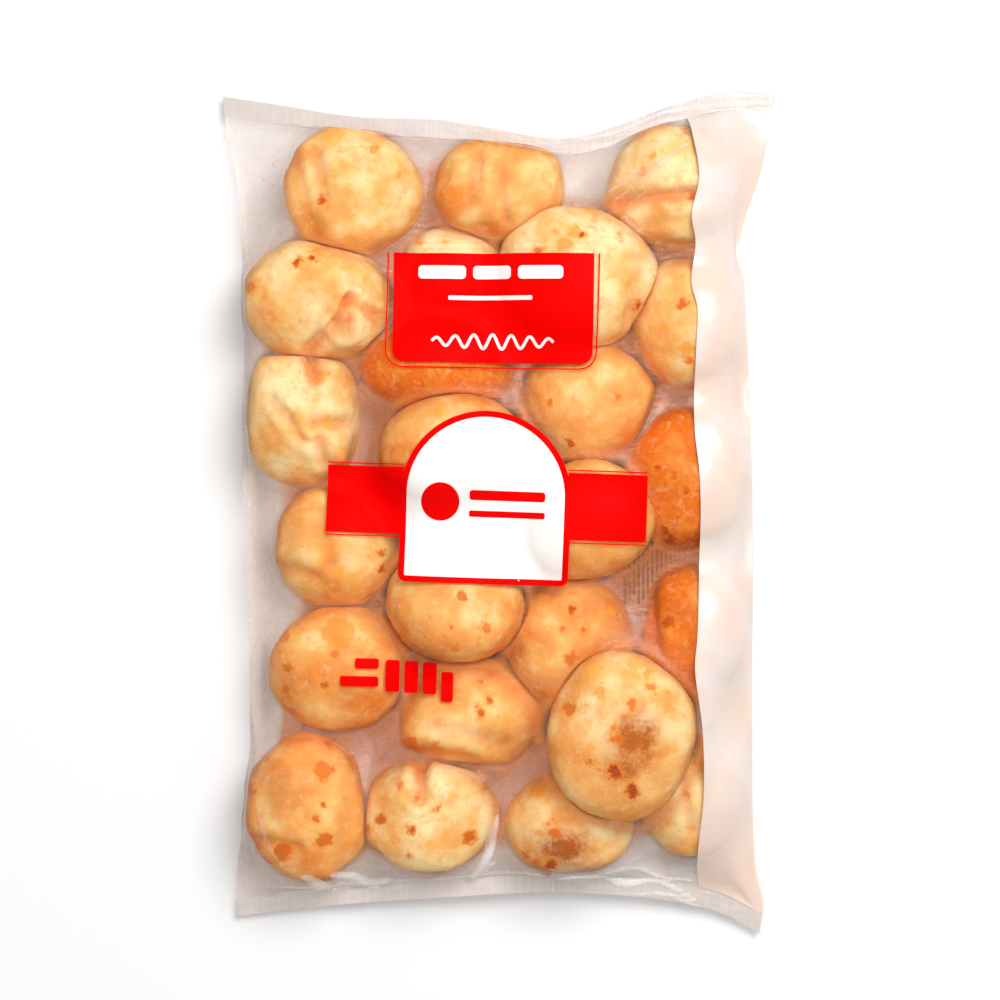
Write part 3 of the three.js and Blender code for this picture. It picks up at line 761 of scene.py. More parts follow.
class Ball:
    """One ball: its middle and half sizes in mm, and the marks of its row in the table."""

    def __init__(self, row, number):
        self.row = row
        self.seed = number + 1
        self.lift = row.get("lift", 0)
        squat = BALL_SQUATNESS * sum(row["half"]) / 2
        self.half = np.array((*row["half"], min(squat, BALL_HALF_HEIGHT_MAX)))
        self.middle = np.array((*row["at"], self.lift + self.half[2]))

    def radius(self, way):
        """How far the crust lies in unit directions, as a share of the ellipsoid: one, plus four sizes of
        random swelling, plus a Gaussian hill for each lobe, less a Gaussian groove with soft banks for each
        fold, and cut off flat across the base."""
        size = self.half[:2].mean()
        away = 1
        for height, grain, step in SWELLS:
            away = away + height * noise(way, grain, self.seed + step)
        x, y = way[..., 0] * self.half[0], way[..., 1] * self.half[1]
        above = smoothstep(-0.3, 0.15, way[..., 2])
        for lobe_x, lobe_y, reach, height in self.row.get("lobes", ()):
            hill = np.exp(-((x - lobe_x) ** 2 + (y - lobe_y) ** 2) / reach ** 2)
            away = away + above * hill * RELIEF * height / size
        for x0, y0, x1, y1, width, depth in self.row.get("folds", ()):
            far = lines_to(((x0, y0), (x1, y1)), x, y) / width
            groove = np.exp(-far ** 2) - 0.3 * np.exp(-(far - 2.1) ** 2)
            away = away - above * groove * RELIEF * depth / size
        if "base" in self.row:
            *normal, out = self.row["base"]
            normal = np.array(normal) / np.linalg.norm(normal)
            facing = np.maximum(way @ normal, 1e-3)
            away = soft_min(away, out / facing, 0.12)
        return away

    def marks(self, way, place):
        """The numbers that the crust's material reads at each point."""
        x, y = (place - self.middle)[..., 0], (place - self.middle)[..., 1]
        below = np.clip(-way[..., 2], 0, 1) * FADE_BELOW
        reach, strength = (np.full(x.shape, number) for number in NO_SPOT)
        spots = [(np.hypot(x - at_x, y - at_y) + below, radius, much)
                 for at_x, at_y, radius, much in self.row.get("spots", ())]
        draw = np.random.default_rng(100 + self.seed)
        for _ in range(GUESSED_SPOTS):
            spot = draw.normal(size=3)
            spot[2] = -abs(spot[2]) * 0.8 + 0.1
            spot *= self.half / np.linalg.norm(spot)
            spots.append((np.linalg.norm(place - self.middle - spot, axis=-1), draw.uniform(0.7, 2.4),
                          draw.uniform(0.3, 0.8)))
        for far, radius, much in spots:
            nearer = far - radius < reach
            strength = np.where(nearer, much, strength)
            reach = np.minimum(reach, far - radius)
        toast = np.zeros(x.shape)
        for at_x, at_y, reach_x, reach_y, much in self.row.get("toast", ()):
            spread = ((x - at_x) / reach_x) ** 2 + ((y - at_y) / reach_y) ** 2
            toast = np.maximum(toast, much * np.exp(-1.1 * spread - below))
        # Where painted shade lies along the folds, fainter towards the underside
        fold_shade = np.zeros(x.shape)
        for x0, y0, x1, y1, width, depth in self.row.get("folds", ()):
            far = lines_to(((x0, y0), (x1, y1)), x, y) + below
            fold_shade = np.maximum(fold_shade, min(depth / 2, 1) * np.exp(-(far / width) ** 2 * 1.6))
        # Painted shade: side is 0 where the crust faces the light and 1 where it faces across or away
        crown = np.array(self.row.get("crown", LIGHT_WAY))
        side = smoothstep(0.97, 0.0, way @ (crown / np.linalg.norm(crown)))
        bake = np.full(x.shape, self.row["bake"])
        return dict(zip(BALL_ATTRIBUTES, (reach, strength, toast, fold_shade, side, bake)))


def ball_directions():
    """Unit directions on a grid of rings from pole to pole, the poles once each. The poles lie along Y, so
    that the side seen from above has the most even cells."""
    ring = math.pi * np.arange(1, BALL_RINGS) / BALL_RINGS
    turn = 2 * math.pi * np.arange(BALL_STEPS) / BALL_STEPS
    ring, turn = np.meshgrid(ring, turn, indexing="ij")
    way = np.stack([np.sin(ring) * np.cos(turn), np.cos(ring), np.sin(ring) * np.sin(turn)], axis=-1)
    return np.concatenate([[[0, 1, 0]], way.reshape(-1, 3), [[0, -1, 0]]])


def ball_faces():
    """The quads between a ball's rings, and the triangles round its two poles."""
    index = 1 + np.arange((BALL_RINGS - 1) * BALL_STEPS).reshape(-1, BALL_STEPS)
    index = np.concatenate([index, index[:, :1]], axis=1)
    quads = grid_quads(index)
    first, last = index[0], index[-1]
    pole = index.max() + 1
    north = np.stack([np.zeros(BALL_STEPS, int), first[1:], first[:-1]], axis=1)
    south = np.stack([np.full(BALL_STEPS, pole), last[:-1], last[1:]], axis=1)
    return [quads, np.concatenate([north, south])]


def pressed(ball, balls, way, away):
    """The radii of a ball once it is pressed against its neighbours, the ground and the film's sides. Along a
    ray from its middle, the face that it shares with a neighbour of the same layer is where the ray is as deep
    in one ellipsoid as in the other, a root of a quadratic. A ball of the layer above keeps its own crust, and
    this one is dented by it, where the ray meets that ellipsoid."""
    ray = way * ball.half
    length = np.linalg.norm(ray, axis=-1)
    for other in balls:
        if other is ball or np.linalg.norm((other.middle - ball.middle)[:2]) > NEIGHBOUR_REACH:
            continue
        rise = other.lift - ball.lift
        if rise < -STACKED:
            continue
        a = (ball.middle - other.middle) / other.half
        b = ray / other.half
        bb, ab, aa = (b * b).sum(-1), b @ a, a @ a
        if rise > STACKED:
            root = ab ** 2 - bb * (aa - DENT ** 2)
            meets = (root > 0) & (ab < 0)
            limit = np.where(meets, (-ab - np.sqrt(np.maximum(root, 0))) / bb, FREE_WAY)
        else:
            root = ab ** 2 - (bb - 1) * aa
            under = -ab + np.sqrt(np.maximum(root, 0))
            limit = np.where((root > 0) & (under > 0), aa / np.maximum(under, 1e-6), FREE_WAY)
        limit = np.where(limit > 0, limit, FREE_WAY) - CONTACT_GAP / length
        away = soft_min(away, limit, 0.05)
    down = np.maximum(-ray[:, 2], 1e-3)
    away = soft_min(away, (ball.middle[2] - GROUND) / down, 0.06)
    for edge, axis, sign, room in ((LEFT_EDGE, 0, -1, SIDE_ROOM), (RIGHT_EDGE, 0, 1, SIDE_ROOM),
                                   (BOTTOM_EDGE, 1, -1, END_ROOM), (TOP_EDGE, 1, 1, END_ROOM)):
        line = curve(edge, np.linspace(0, 1, 60))
        run = 1 - axis
        wall = sign * np.interp(ball.middle[run] + ray[:, run], line[:, run], line[:, axis]) - room
        outward = np.maximum(sign * ray[:, axis], 1e-3)
        away = soft_min(away, (wall - sign * ball.middle[axis]) / outward, 0.05)
    return away


def make_balls():
    """Makes the balls, and keeps maps of the height of their upper side, of the same with softened shoulders
    for the film to lie on, and of the narrow dips between balls that touch."""
    material = crust_material(bpy.context.scene.crust_look)
    balls = [Ball(row, number) for number, row in enumerate(BALLS)]
    way = ball_directions()
    faces = ball_faces()
    crowns = np.zeros(MAP_SHAPE)
    for ball in balls:
        away = pressed(ball, balls, way, ball.radius(way))
        place = ball.middle + way * ball.half * away[:, None]
        new_piece(f"cheese_ball_{ball.seed:02d}", place, faces, material, ball.marks(way, place))
        column, row = np.rint((place[:, :2] - MAP_LOW) / MAP_CELL).astype(int).T
        np.maximum.at(crowns, (row, column), place[:, 2])
    made["crowns"] = widest(crowns)
    made["shoulders"] = np.maximum(made["crowns"], blurred(widest(made["crowns"]), SHOULDER))
    filled = np.maximum(crowns, np.where(crowns == 0, made["crowns"], 0))
    sunk = np.clip((blurred(filled, DIP_REACH) - filled - DIP_FROM) / DIP_DEPTH, 0, 1)
    made["crevices"] = blurred(sunk, DIP_EDGE) * (made["crowns"] > OPEN_GROUND)


def blurred(field, reach):
    """A height map smoothed over about reach mm: each cell takes the mean of its row of three and then of its
    column of three, over and over. Each pass spreads it by the square root of 4/3 of a cell."""
    for _ in range(max(1, round((reach / MAP_CELL) ** 2 * 0.75))):
        wide = np.pad(field, 1, mode="edge")
        field = (wide[1:-1, :-2] + wide[1:-1, 1:-1] + wide[1:-1, 2:]) / 3
        wide = np.pad(field, 1, mode="edge")
        field = (wide[:-2, 1:-1] + wide[1:-1, 1:-1] + wide[2:, 1:-1]) / 3
    return field


def widest(field):
    """A height map in which each cell takes the highest of itself and its eight neighbours."""
    wide = np.pad(field, 1, mode="edge")
    rows, columns = field.shape
    return np.max([wide[j:j + rows, i:i + columns] for j in range(3) for i in range(3)], axis=0)


# --- Film --------------------------------------------------------------------------------------------------

def outline_patch(rows, columns):
    """The bag's plan as a Coons patch of its four edges: the blend of the left and right edges, plus the blend
    of the top and bottom ones, less the blend of the corners, fitted to the CAD solid's box."""
    low, high = evenly(BOTTOM_EDGE, columns), evenly(TOP_EDGE, columns)
    left, right = evenly(LEFT_EDGE, rows), evenly(RIGHT_EDGE, rows)
    u, v = np.linspace(0, 1, columns)[None, :, None], np.linspace(0, 1, rows)[:, None, None]
    plan = (1 - v) * low[None] + v * high[None] + (1 - u) * left[:, None] + u * right[:, None]
    plan = plan - (1 - v) * ((1 - u) * low[0] + u * low[-1]) - v * ((1 - u) * high[0] + u * high[-1])
    least, most = plan.min((0, 1)), plan.max((0, 1))
    return BAG_LOW[:2] + (plan - least) / (most - least) * (BAG_HIGH - BAG_LOW)[:2]


def from_ends(plan):
    """How far the places of a patch lie along Y from the nearer end of the bag."""
    return np.minimum(plan[..., 1] - plan[:1, :, 1], plan[-1:, :, 1] - plan[..., 1])


def rim_height(rows, columns, size):
    """Height of the rim carried over the whole patch: low at the corners, rising as a power of a sine along
    the sides and the ends, each counting by the square of how near it is."""
    u, v = np.meshgrid(np.linspace(0, 1, columns), np.linspace(0, 1, rows))
    corner = size.corner_height / MM
    side = (size.side_height / MM - corner) * np.sin(math.pi * v).clip(0) ** 0.6
    end = (size.seal_height / MM - corner) * np.sin(math.pi * u).clip(0) ** 0.8
    near_side, near_end = (2 * u - 1) ** 2, (2 * v - 1) ** 2
    return corner + (side * near_side + end * near_end) / np.maximum(near_side + near_end, 1e-6)


def pull(film, loose, first, second, rest, push):
    """Brings each link from film[first] to film[second] towards its length on the flat film: all the way
    where it is stretched, and by the share push where it is shortened, as film would rather fold."""
    run = film[second] - film[first]
    length = np.linalg.norm(run, axis=-1, keepdims=True)
    strain = (length - rest) / np.maximum(length, 1e-9)
    strain = strain * np.where(strain > 0, 1, push)
    a, b = loose[first], loose[second]
    move = run * strain / np.maximum(a + b, 1)
    film[first] += a * move
    film[second] -= b * move


def settle(film, loose, size, passes, sink, stiff):
    """Lets the upper film settle on the balls. In each pass it sinks a little, its links along, across and
    diagonally take their flat length again, it is smoothed by its stiffness, and what is under it holds it."""
    rows, columns = film.shape[:2]
    across = size.flat_width / MM / (columns - 1)
    along = size.flat_length / MM / (rows - 1)
    whole, front, back = slice(None), slice(None, -1), slice(1, None)
    links = []
    for start in (0, 1):
        a, b = slice(start, -1, 2), slice(start + 1, None, 2)
        links += [((whole, a), (whole, b), across, 0.35), ((a, whole), (b, whole), along, 0.35)]
        slant = math.hypot(across, along)
        links += [((a, front), (b, back), slant, 0.1), ((a, back), (b, front), slant, 0.1)]
    for _ in range(passes):
        film[..., 2] -= sink * loose[..., 0]
        for first, second, rest, push in links:
            pull(film, loose, first, second, rest, push)
        inner = film[1:-1, 1:-1]
        around = (film[:-2, 1:-1] + film[2:, 1:-1] + film[1:-1, :-2] + film[1:-1, 2:]) / 4
        inner += (around - inner) * stiff * loose[1:-1, 1:-1]
        held = sample(made["shoulders"], film[..., 0], film[..., 1]) + FILM_ROOM
        film[..., 2] = np.where(loose[..., 0] > 0, np.maximum(film[..., 2], held), film[..., 2])


def finer(grid, factor):
    """A grid with factor times as many cells each way, its points blended from those of the coarse one."""
    rows, columns = grid.shape[:2]
    for axis, count in ((0, rows), (1, columns)):
        at = np.linspace(0, count - 1, (count - 1) * factor + 1)
        k = np.minimum(at.astype(int), count - 2)
        share = (at - k).reshape([-1 if n == axis else 1 for n in range(3)])
        grid = np.take(grid, k, axis) * (1 - share) + np.take(grid, k + 1, axis) * share
    return grid


def upper_film(size):
    """The upper film as a grid of points, settled on the balls from a coarse grid to the fine one."""
    film = None
    for factor, passes, sink, stiff in ((4, 420, 0.10, 0.10), (2, 160, 0.05, 0.16), (1, 50, 0.02, 0.22)):
        rows, columns = CELLS_ALONG // factor + 1, CELLS_ACROSS // factor + 1
        plan = outline_patch(rows, columns)
        rim = rim_height(rows, columns, size) + WELD_GAP
        pinned = np.dstack([plan, rim])
        if film is None:
            film = pinned.copy()
            film[..., 2] = np.maximum(rim, sample(made["crowns"], film[..., 0], film[..., 1]) + FILM_ROOM)
        else:
            film = finer(film, 2)
        loose = (from_ends(plan) > size.seal_width / MM).astype(float)[..., None]
        loose[:, (0, -1)] = 0
        film = np.where(loose > 0, film, pinned)
        settle(film, loose, size, passes, sink, stiff)
    return film


def lower_film(size):
    """The lower film: flat on the ground under the balls, rolling up to the side folds and the welded ends
    along a smooth step, with shallow random wrinkles where nothing presses on it."""
    rows, columns = CELLS_ALONG + 1, CELLS_ACROSS + 1
    plan = outline_patch(rows, columns)
    rim = rim_height(rows, columns, size)
    from_side = np.minimum(plan[..., 0] - plan[:, :1, 0], plan[:, -1:, 0] - plan[..., 0])
    from_end = from_ends(plan)
    seal = size.seal_width / MM
    flat = np.minimum(smoothstep(0, UNDER_ROLL, from_side), smoothstep(seal, seal + UNDER_END_ROLL, from_end))
    wrinkles = 0.5 + 0.2 * noise(np.dstack([plan, 0 * rim]), 7, 41)
    return np.dstack([plan, rim * (1 - flat) + wrinkles * flat])


def normals_of(grid):
    """Unit normals of a grid of points, facing up, from the cross product of its two slopes."""
    along, across = np.gradient(grid, axis=0), np.gradient(grid, axis=1)
    normal = np.cross(across, along)
    return normal / np.linalg.norm(normal, axis=-1, keepdims=True)


def crumple(film, air):
    """Moves the film along its normals by fine creases: the crests of a noise drawn out along a slant, at
    most 0.7 mm high and fading to nothing where the film lies on a ball, and the creases of the table, each a
    Gaussian ridge along its path that tapers at both ends. Gives the film, and the strength of the painted
    highlight that each point's crease carries."""
    turn = math.radians(CREASE_SLANT)
    x, y = film[..., 0], film[..., 1]
    along, across = x * math.cos(turn) + y * math.sin(turn), y * math.cos(turn) - x * math.sin(turn)
    fine = ridges(np.dstack([along * 0.35, across, 0 * x]), 11, 51)
    other = ridges(np.dstack([across * 0.4, along, 0 * x + 30]), 16, 52)
    crest = (0.32 * fine + 0.36 * other) * air
    # Painted highlight, faint along the fine creases and as strong as the table says along its creases
    white = 0.3 * crest
    for path, width, height, much in CREASES:
        line = curve(path, np.linspace(0, 1, CREASE_POINTS))
        far = np.full(x.shape, 1e3)
        for n, segment in enumerate(zip(line[:-1], line[1:])):
            taper = math.sin(math.pi * (n + 0.5) / (CREASE_POINTS - 1)) ** 0.5
            far = np.minimum(far, lines_to(segment, x, y) / (width * taper))
        crest = crest + height * np.exp(-far ** 2)
        white = np.maximum(white, much * np.exp(-(far / 1.25) ** 2))
    return film + normals_of(film) * crest[..., None], white


def height_map(grid):
    """A grid's height on the map's cells: each row of points is read at even places across, and then each
    column of those at even places along."""
    across = MAP_LOW[0] + MAP_CELL * np.arange(MAP_SHAPE[1])
    along = MAP_LOW[1] + MAP_CELL * np.arange(MAP_SHAPE[0])
    y = np.array([np.interp(across, line[:, 0], line[:, 1]) for line in grid])
    z = np.array([np.interp(across, line[:, 0], line[:, 2]) for line in grid])
    return np.array([np.interp(along, y[:, n], z[:, n]) for n in range(len(across))]).T


def inside_bag():
    """A map with 1 where the bag's outline, seen from above, holds the cell, and 0 beyond it."""
    x = (MAP_LOW[0] + MAP_CELL * np.arange(MAP_SHAPE[1]))[None, :]
    y = (MAP_LOW[1] + MAP_CELL * np.arange(MAP_SHAPE[0]))[:, None]
    low, high, left, right = (evenly(edge, 200) for edge in (BOTTOM_EDGE, TOP_EDGE, LEFT_EDGE, RIGHT_EDGE))
    across = (x > np.interp(y, left[:, 1], left[:, 0])) & (x < np.interp(y, right[:, 1], right[:, 0]))
    along = (y > np.interp(x, low[:, 0], low[:, 1])) & (y < np.interp(x, high[:, 0], high[:, 1]))
    return (across & along).astype(float)


def make_film():
    """Makes the bag's film as one closed skin, and keeps its grids and its height map. Its attributes, 0 to 1:
    bare, with no ball under it. wide, in open ground at least some 25 mm wide. crevice, over a narrow dip
    between balls. band, welded. steep, far from level near the sides. crease, the painted highlight of a
    crease. loft, off a ball."""
    size = bpy.context.scene.bag_size
    upper, lower = upper_film(size), lower_film(size)
    under = sample(made["crowns"], upper[..., 0], upper[..., 1])
    seal = size.seal_width / MM
    column = np.minimum(np.arange(CELLS_ACROSS + 1), np.arange(CELLS_ACROSS + 1)[::-1])[None, :]
    band = smoothstep(seal + 0.5, seal - 0.5, from_ends(lower))
    inside = smoothstep(0, WRINKLE_COLUMNS, column) * (1 - band)
    doubled_x, doubled_y = DOUBLED_FROM
    doubled = smoothstep(doubled_x - 0.4, doubled_x + 0.8, upper[..., 0])
    doubled = doubled * smoothstep(doubled_y + 1.5, doubled_y - 1.5, upper[..., 1])
    band = np.maximum(band, 0.6 * doubled)
    gap = upper[..., 2] - under - FILM_ROOM
    open_ground = (made["crowns"] < OPEN_GROUND).astype(float)
    bare = sample(blurred(widest(open_ground), BARE_EDGE), upper[..., 0], upper[..., 1])
    wide = blurred(open_ground * inside_bag(), GAP_REACH)
    for _ in range(GAP_GROWTH):
        wide = widest(wide)
    wide = sample(blurred(wide, GAP_EDGE), upper[..., 0], upper[..., 1]) * (1 - band) + band
    wide = np.maximum(wide, MARGIN_SHARE * smoothstep(*MARGIN_COLUMNS, column))
    crevice = sample(made["crevices"], upper[..., 0], upper[..., 1]) * (1 - bare)
    loft = smoothstep(*LOFT, gap) * (1 - bare)
    # crest: the painted highlight along the creases
    upper, crest = crumple(upper, smoothstep(*AIR, gap) * inside)
    margin = smoothstep(*FOLD_COLUMNS, column)
    steep = [(1 - np.abs(normals_of(grid)[..., 2])) * margin for grid in (upper, lower)]
    flat_x, flat_y = np.meshgrid(np.linspace(0, size.flat_width, CELLS_ACROSS + 1),
                                 np.linspace(0, size.flat_length, CELLS_ALONG + 1))
    uv = np.dstack([flat_x, flat_y]).reshape(-1, 2)
    uv = np.concatenate([uv, uv + (size.flat_width, 0)])
    points, faces = closed_sheet(upper, lower)
    pairs = ((bare, bare), (wide, wide), (crevice, 0 * crevice), (band, band), steep, (crest, 0 * crest),
             (loft, 0 * loft))
    values = {name: np.concatenate([above.ravel(), below.ravel()])
              for name, (above, below) in zip(FILM_ATTRIBUTES, pairs)}
    material = film_material(bpy.context.scene.film_look)
    film = new_piece("bag_film", points, faces, material, values, uv)
    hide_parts(CAD_NODE)
    made["upper"], made["lower"] = upper, lower
    made["film"] = height_map(upper)


def make_strip():
    """Makes the white side strip: a skin just outside the film, from its wavy edge on the upper side round
    the side fold to an even edge on the lower side."""
    upper, lower = made["upper"], made["lower"]
    edge = np.array(STRIP_EDGE, float)[::-1]
    line = curve(edge, np.linspace(0, 1, 200))
    last = CELLS_ACROSS
    shares = np.linspace(0, 1, STRIP_COLUMNS)[None, :]
    upper_out, lower_out = normals_of(upper), -normals_of(lower)
    rim_out = np.cross(np.gradient(upper[:, -1], axis=0), (0, 0, 1))
    rim_out = rim_out / np.linalg.norm(rim_out, axis=-1, keepdims=True)
    upper_out[:, -1] = lower_out[:, -1] = rim_out
    rows = np.arange(STRIP_END_ROWS, CELLS_ALONG + 1 - STRIP_END_ROWS)
    y_near_edge = upper[rows, round(last * STRIP_NEAR), 1]
    edge_x = np.interp(y_near_edge, line[:, 1], line[:, 0])
    start = np.array([np.interp(x, upper[j, :, 0], np.arange(last + 1)) for j, x in zip(rows, edge_x)])
    column = start[:, None] + (last - start[:, None]) * shares
    front = [across_grid(grid, rows, column) for grid in (upper, upper_out)]
    column = last - STRIP_BACK_COLUMNS * shares[:, 1:] + 0 * start[:, None]
    behind = [across_grid(grid, rows, column) for grid in (lower, lower_out)]
    place, out = (np.concatenate(pair, axis=1) for pair in zip(front, behind))
    points, faces = closed_sheet(place + out * (STRIP_LIFT + STRIP_THICKNESS), place + out * STRIP_LIFT)
    material = strip_material(bpy.context.scene.film_look)
    new_piece("white_side_strip", points, faces, material)


def across_grid(grid, rows, column):
    """A grid's values at fractional columns of each row, blended from the two columns beside."""
    k = np.clip(column.astype(int), 0, grid.shape[1] - 2)
    share = (column - k)[..., None]
    return grid[rows[:, None], k] * (1 - share) + grid[rows[:, None], k + 1] * share


# --- Print -------------------------------------------------------------------------------------------------

def on_film(name, x, y, material, slot, layer=1, ring=False):
    """A thin closed skin that lies on the upper film at plan places x, y in mm, in one of the ink layers."""
    height = sample(made["film"], x, y) + INK_LIFT + layer * INK_LAYER
    upper = np.dstack([x, y, height])
    lower = np.dstack([x, y, height - INK_LAYER / 2])
    points, faces = closed_sheet(upper, lower, ring)
    return new_piece(name, points, faces, material)


def tilted(x, y, at, tilt):
    """Plan places of a printed figure's own x, y, turned by the tilt about its middle."""
    turn = math.radians(tilt)
    return (at[0] + x * math.cos(turn) - y * math.sin(turn), at[1] + x * math.sin(turn) + y * math.cos(turn))


def panel(width, height, radius, cell=1.0, round_top=True):
    """x, y of a rectangle about its middle with round corners: each row reaches as far as the corner's circle
    lets it, radius - sqrt(radius^2 - depth^2) in from the side."""
    rows = np.linspace(-height / 2, height / 2, max(3, int(height / cell) + 1))
    if radius:
        turns = 1 - np.cos(np.linspace(0, math.pi / 2, 9))
        low = -height / 2 + radius * turns
        rows = np.unique(np.concatenate([rows[(rows > low[-1]) & (rows < -low[-1])], low, -low]))
    below = np.clip(radius - (rows + height / 2), 0, radius)
    above = np.clip(radius - (height / 2 - rows), 0, radius) if round_top else 0 * rows
    inset = radius - np.sqrt(np.maximum(radius ** 2 - np.maximum(below, above) ** 2, 0))
    columns = np.linspace(-1, 1, max(3, int(width / cell) + 1))
    return np.outer(width / 2 - inset, columns), np.repeat(rows[:, None], len(columns), axis=1)


def stroke(path, width, closed=False):
    """x, y of a line of even width along a path of points: each point and half the width to either side."""
    path = np.array(path, float)
    run = np.roll(path, -1, 0) - np.roll(path, 1, 0) if closed else np.gradient(path, axis=0)
    run = run / np.linalg.norm(run, axis=1, keepdims=True)
    side = np.stack([run[:, 1], -run[:, 0]], axis=1)
    offsets = np.linspace(-width / 2, width / 2, 4)
    grid = path[:, None] + side[:, None] * offsets[None, :, None]
    return grid[..., 0], grid[..., 1]


def rounded_path(corners, radii, step=1.0):
    """Points along the straight runs from the first corner to the last. Each corner between them is replaced
    by a quadratic Bezier curve that lies close to an arc of its radius."""
    corners = [np.array(corner, float) for corner in corners]
    pieces = [[corners[0], corners[0]]]
    for n, corner in list(enumerate(corners))[1:-1]:
        back, ahead = corners[n - 1] - corner, corners[n + 1] - corner
        back, ahead = back / np.linalg.norm(back), ahead / np.linalg.norm(ahead)
        reach = radii[n] / math.tan(math.acos(np.clip(back @ ahead, -1, 1)) / 2)
        start, end = corner + back * reach, corner + ahead * reach
        handle = corner * 0.83 + (start + end) / 2 * 0.17
        t = np.linspace(0, 1, 9)[:, None]
        pieces.append((1 - t) ** 2 * start + 2 * t * (1 - t) * handle + t * t * end)
    pieces.append([corners[-1], corners[-1]])
    path = []
    for n, piece in enumerate(pieces):
        path.extend(piece)
        if n + 1 < len(pieces):
            start, end = np.array(piece[-1]), np.array(pieces[n + 1][0])
            between = max(1, int(np.linalg.norm(end - start) / step))
            path.extend(start + (end - start) * k / between for k in range(1, between))
    path = np.array(path)
    keep = np.linalg.norm(path - np.roll(path, 1, 0), axis=1) > 1e-3
    return path[keep]


def print_bar(name, sides, at, tilt, ink, layer=1, radius=None, cell=0.8):
    """Prints a plain bar, or a field of a printed figure, from its sides x0, x1, y0, y1. Its corners' radius
    is 0.3 of its height where none is given."""
    x0, x1, y0, y1 = sides
    x, y = panel(x1 - x0, y1 - y0, (y1 - y0) * 0.3 if radius is None else radius, cell)
    slot = "print_white" if "white" in ink.name else "print_red"
    on_film(name, *tilted(x + (x0 + x1) / 2, y + (y0 + y1) / 2, at, tilt), ink, slot, layer)


def make_label(red, white):
    """The red name panel: its field, a thin line round three sides, and plain white bars in the place of
    words. Under them is a sine wave that swings widest at its middle."""
    at, tilt = LABEL_AT, LABEL_TILT
    x, y = panel(*LABEL_SIZE, LABEL_RADIUS, round_top=False)
    on_film("label_field", *tilted(x, y, at, tilt), red, "print_red")
    half_x, half_y = LABEL_SIZE[0] / 2 + 1.8, LABEL_SIZE[1] / 2
    foot = -half_y - 1.7
    corners = [(-half_x, half_y), (-half_x - 0.6, foot), (half_x - 0.6, foot), (half_x, half_y)]
    x, y = stroke(rounded_path(corners, (0, 5.8, 5.8, 0)), 0.5)
    on_film("label_line", *tilted(x, y, at, tilt), red, "print_red")
    for n, sides in enumerate(LABEL_BARS):
        print_bar(f"label_bar_{n + 1}", sides, at, tilt, white, 2)
    run = np.linspace(0, 1, 150)
    swing = (1.1 + 1.4 * np.sin(math.pi * run)) * np.sin(run * 13 * math.pi)
    wave = np.stack([-21 + 42 * run, -11.6 + swing], axis=1)
    x, y = stroke(wave, 1.0)
    on_film("label_wave", *tilted(x, y, at, tilt), white, "print_white", 2)


def make_badge(red, white):
    """The arched white badge with its red line, a plain disc and bars inside it, and the red bands that it
    sits on, each between two thin lines."""
    at, tilt = BADGE_AT, BADGE_TILT
    for n, (start, end) in enumerate(((BAND_LEFT, -BADGE_RADIUS), (BADGE_RADIUS, BAND_RIGHT))):
        print_bar(f"band_{n + 1}", (start, end, BAND_LOW, BAND_HIGH), at, tilt, red, radius=0, cell=1.0)
        for m, level in enumerate((BAND_LOW - BAND_LINE_OFF, BAND_HIGH + BAND_LINE_OFF)):
            sides = (start, end, level - BAND_LINE / 2, level + BAND_LINE / 2)
            print_bar(f"band_{n + 1}_line_{m + 1}", sides, at, tilt, red, radius=0, cell=1.0)
    rows = np.concatenate([np.linspace(-BADGE_DROP, 0, 30), BADGE_RADIUS * np.sin(np.linspace(0.04, 1.5, 40))])
    reach = np.sqrt(np.maximum(BADGE_RADIUS ** 2 - np.maximum(rows, 0) ** 2, 0.01))
    across = np.linspace(-1, 1, 56)
    x, y = np.outer(reach, across), np.repeat(rows[:, None], len(across), axis=1)
    on_film("badge_field", *tilted(x, y, at, tilt), white, "print_white", 2)
    turn = np.linspace(0, math.pi, 90)
    arch = BADGE_RADIUS * np.stack([np.cos(turn), np.sin(turn)], axis=1)
    foot = rounded_path([(-BADGE_RADIUS, 0), (-BADGE_RADIUS, -BADGE_DROP), (BADGE_RADIUS, -BADGE_DROP),
                         (BADGE_RADIUS, 0)], (0, 1.6, 1.6, 0))
    x, y = stroke(np.concatenate([arch[:-1], foot[:-1]]), BADGE_LINE, closed=True)
    on_film("badge_line", *tilted(x, y, at, tilt), red, "print_red", 3, ring=True)
    rows = BADGE_DISC * np.sin(np.linspace(-1.54, 1.54, 30))
    x = np.outer(np.sqrt(BADGE_DISC ** 2 - rows ** 2), np.linspace(-1, 1, 16)) + BADGE_DISC_AT[0]
    y = np.repeat(rows[:, None], 16, axis=1) + BADGE_DISC_AT[1]
    on_film("badge_disc", *tilted(x, y, at, tilt), red, "print_red", 3)
    for n, sides in enumerate(BADGE_BARS):
        print_bar(f"badge_bar_{n + 1}", sides, at, tilt, red, 3)


def make_weight_marks(red):
    """Plain red bars in the place of the weight: two small rows, and four tall blocks beside them."""
    for n, sides in enumerate(WEIGHT_BARS):
        print_bar(f"weight_bar_{n + 1}", sides, WEIGHT_AT, WEIGHT_TILT, red, radius=0.9, cell=0.7)


def make_back_print(grey):
    """Plain grey rows in the place of small print on the lower film, seen between the balls."""
    ground = height_map(made["lower"])
    for n in range(BACK_ROWS):
        x, y = panel(BACK_ROW_WIDTH, 22 - 3 * (n % 3), 0, 2.0)
        x, y = x + BACK_ROWS_AT[0] + BACK_ROW_STEP * n, y + BACK_ROWS_AT[1]
        upper = np.dstack([x, y, sample(ground, x, y) + INK_LIFT + INK_LAYER])
        points, faces = closed_sheet(upper, upper - (0, 0, INK_LAYER / 2))
        new_piece(f"back_print_row_{n + 1}", points, faces, grey)


# --- Crumbs ------------------------------------------------------------------------------------------------

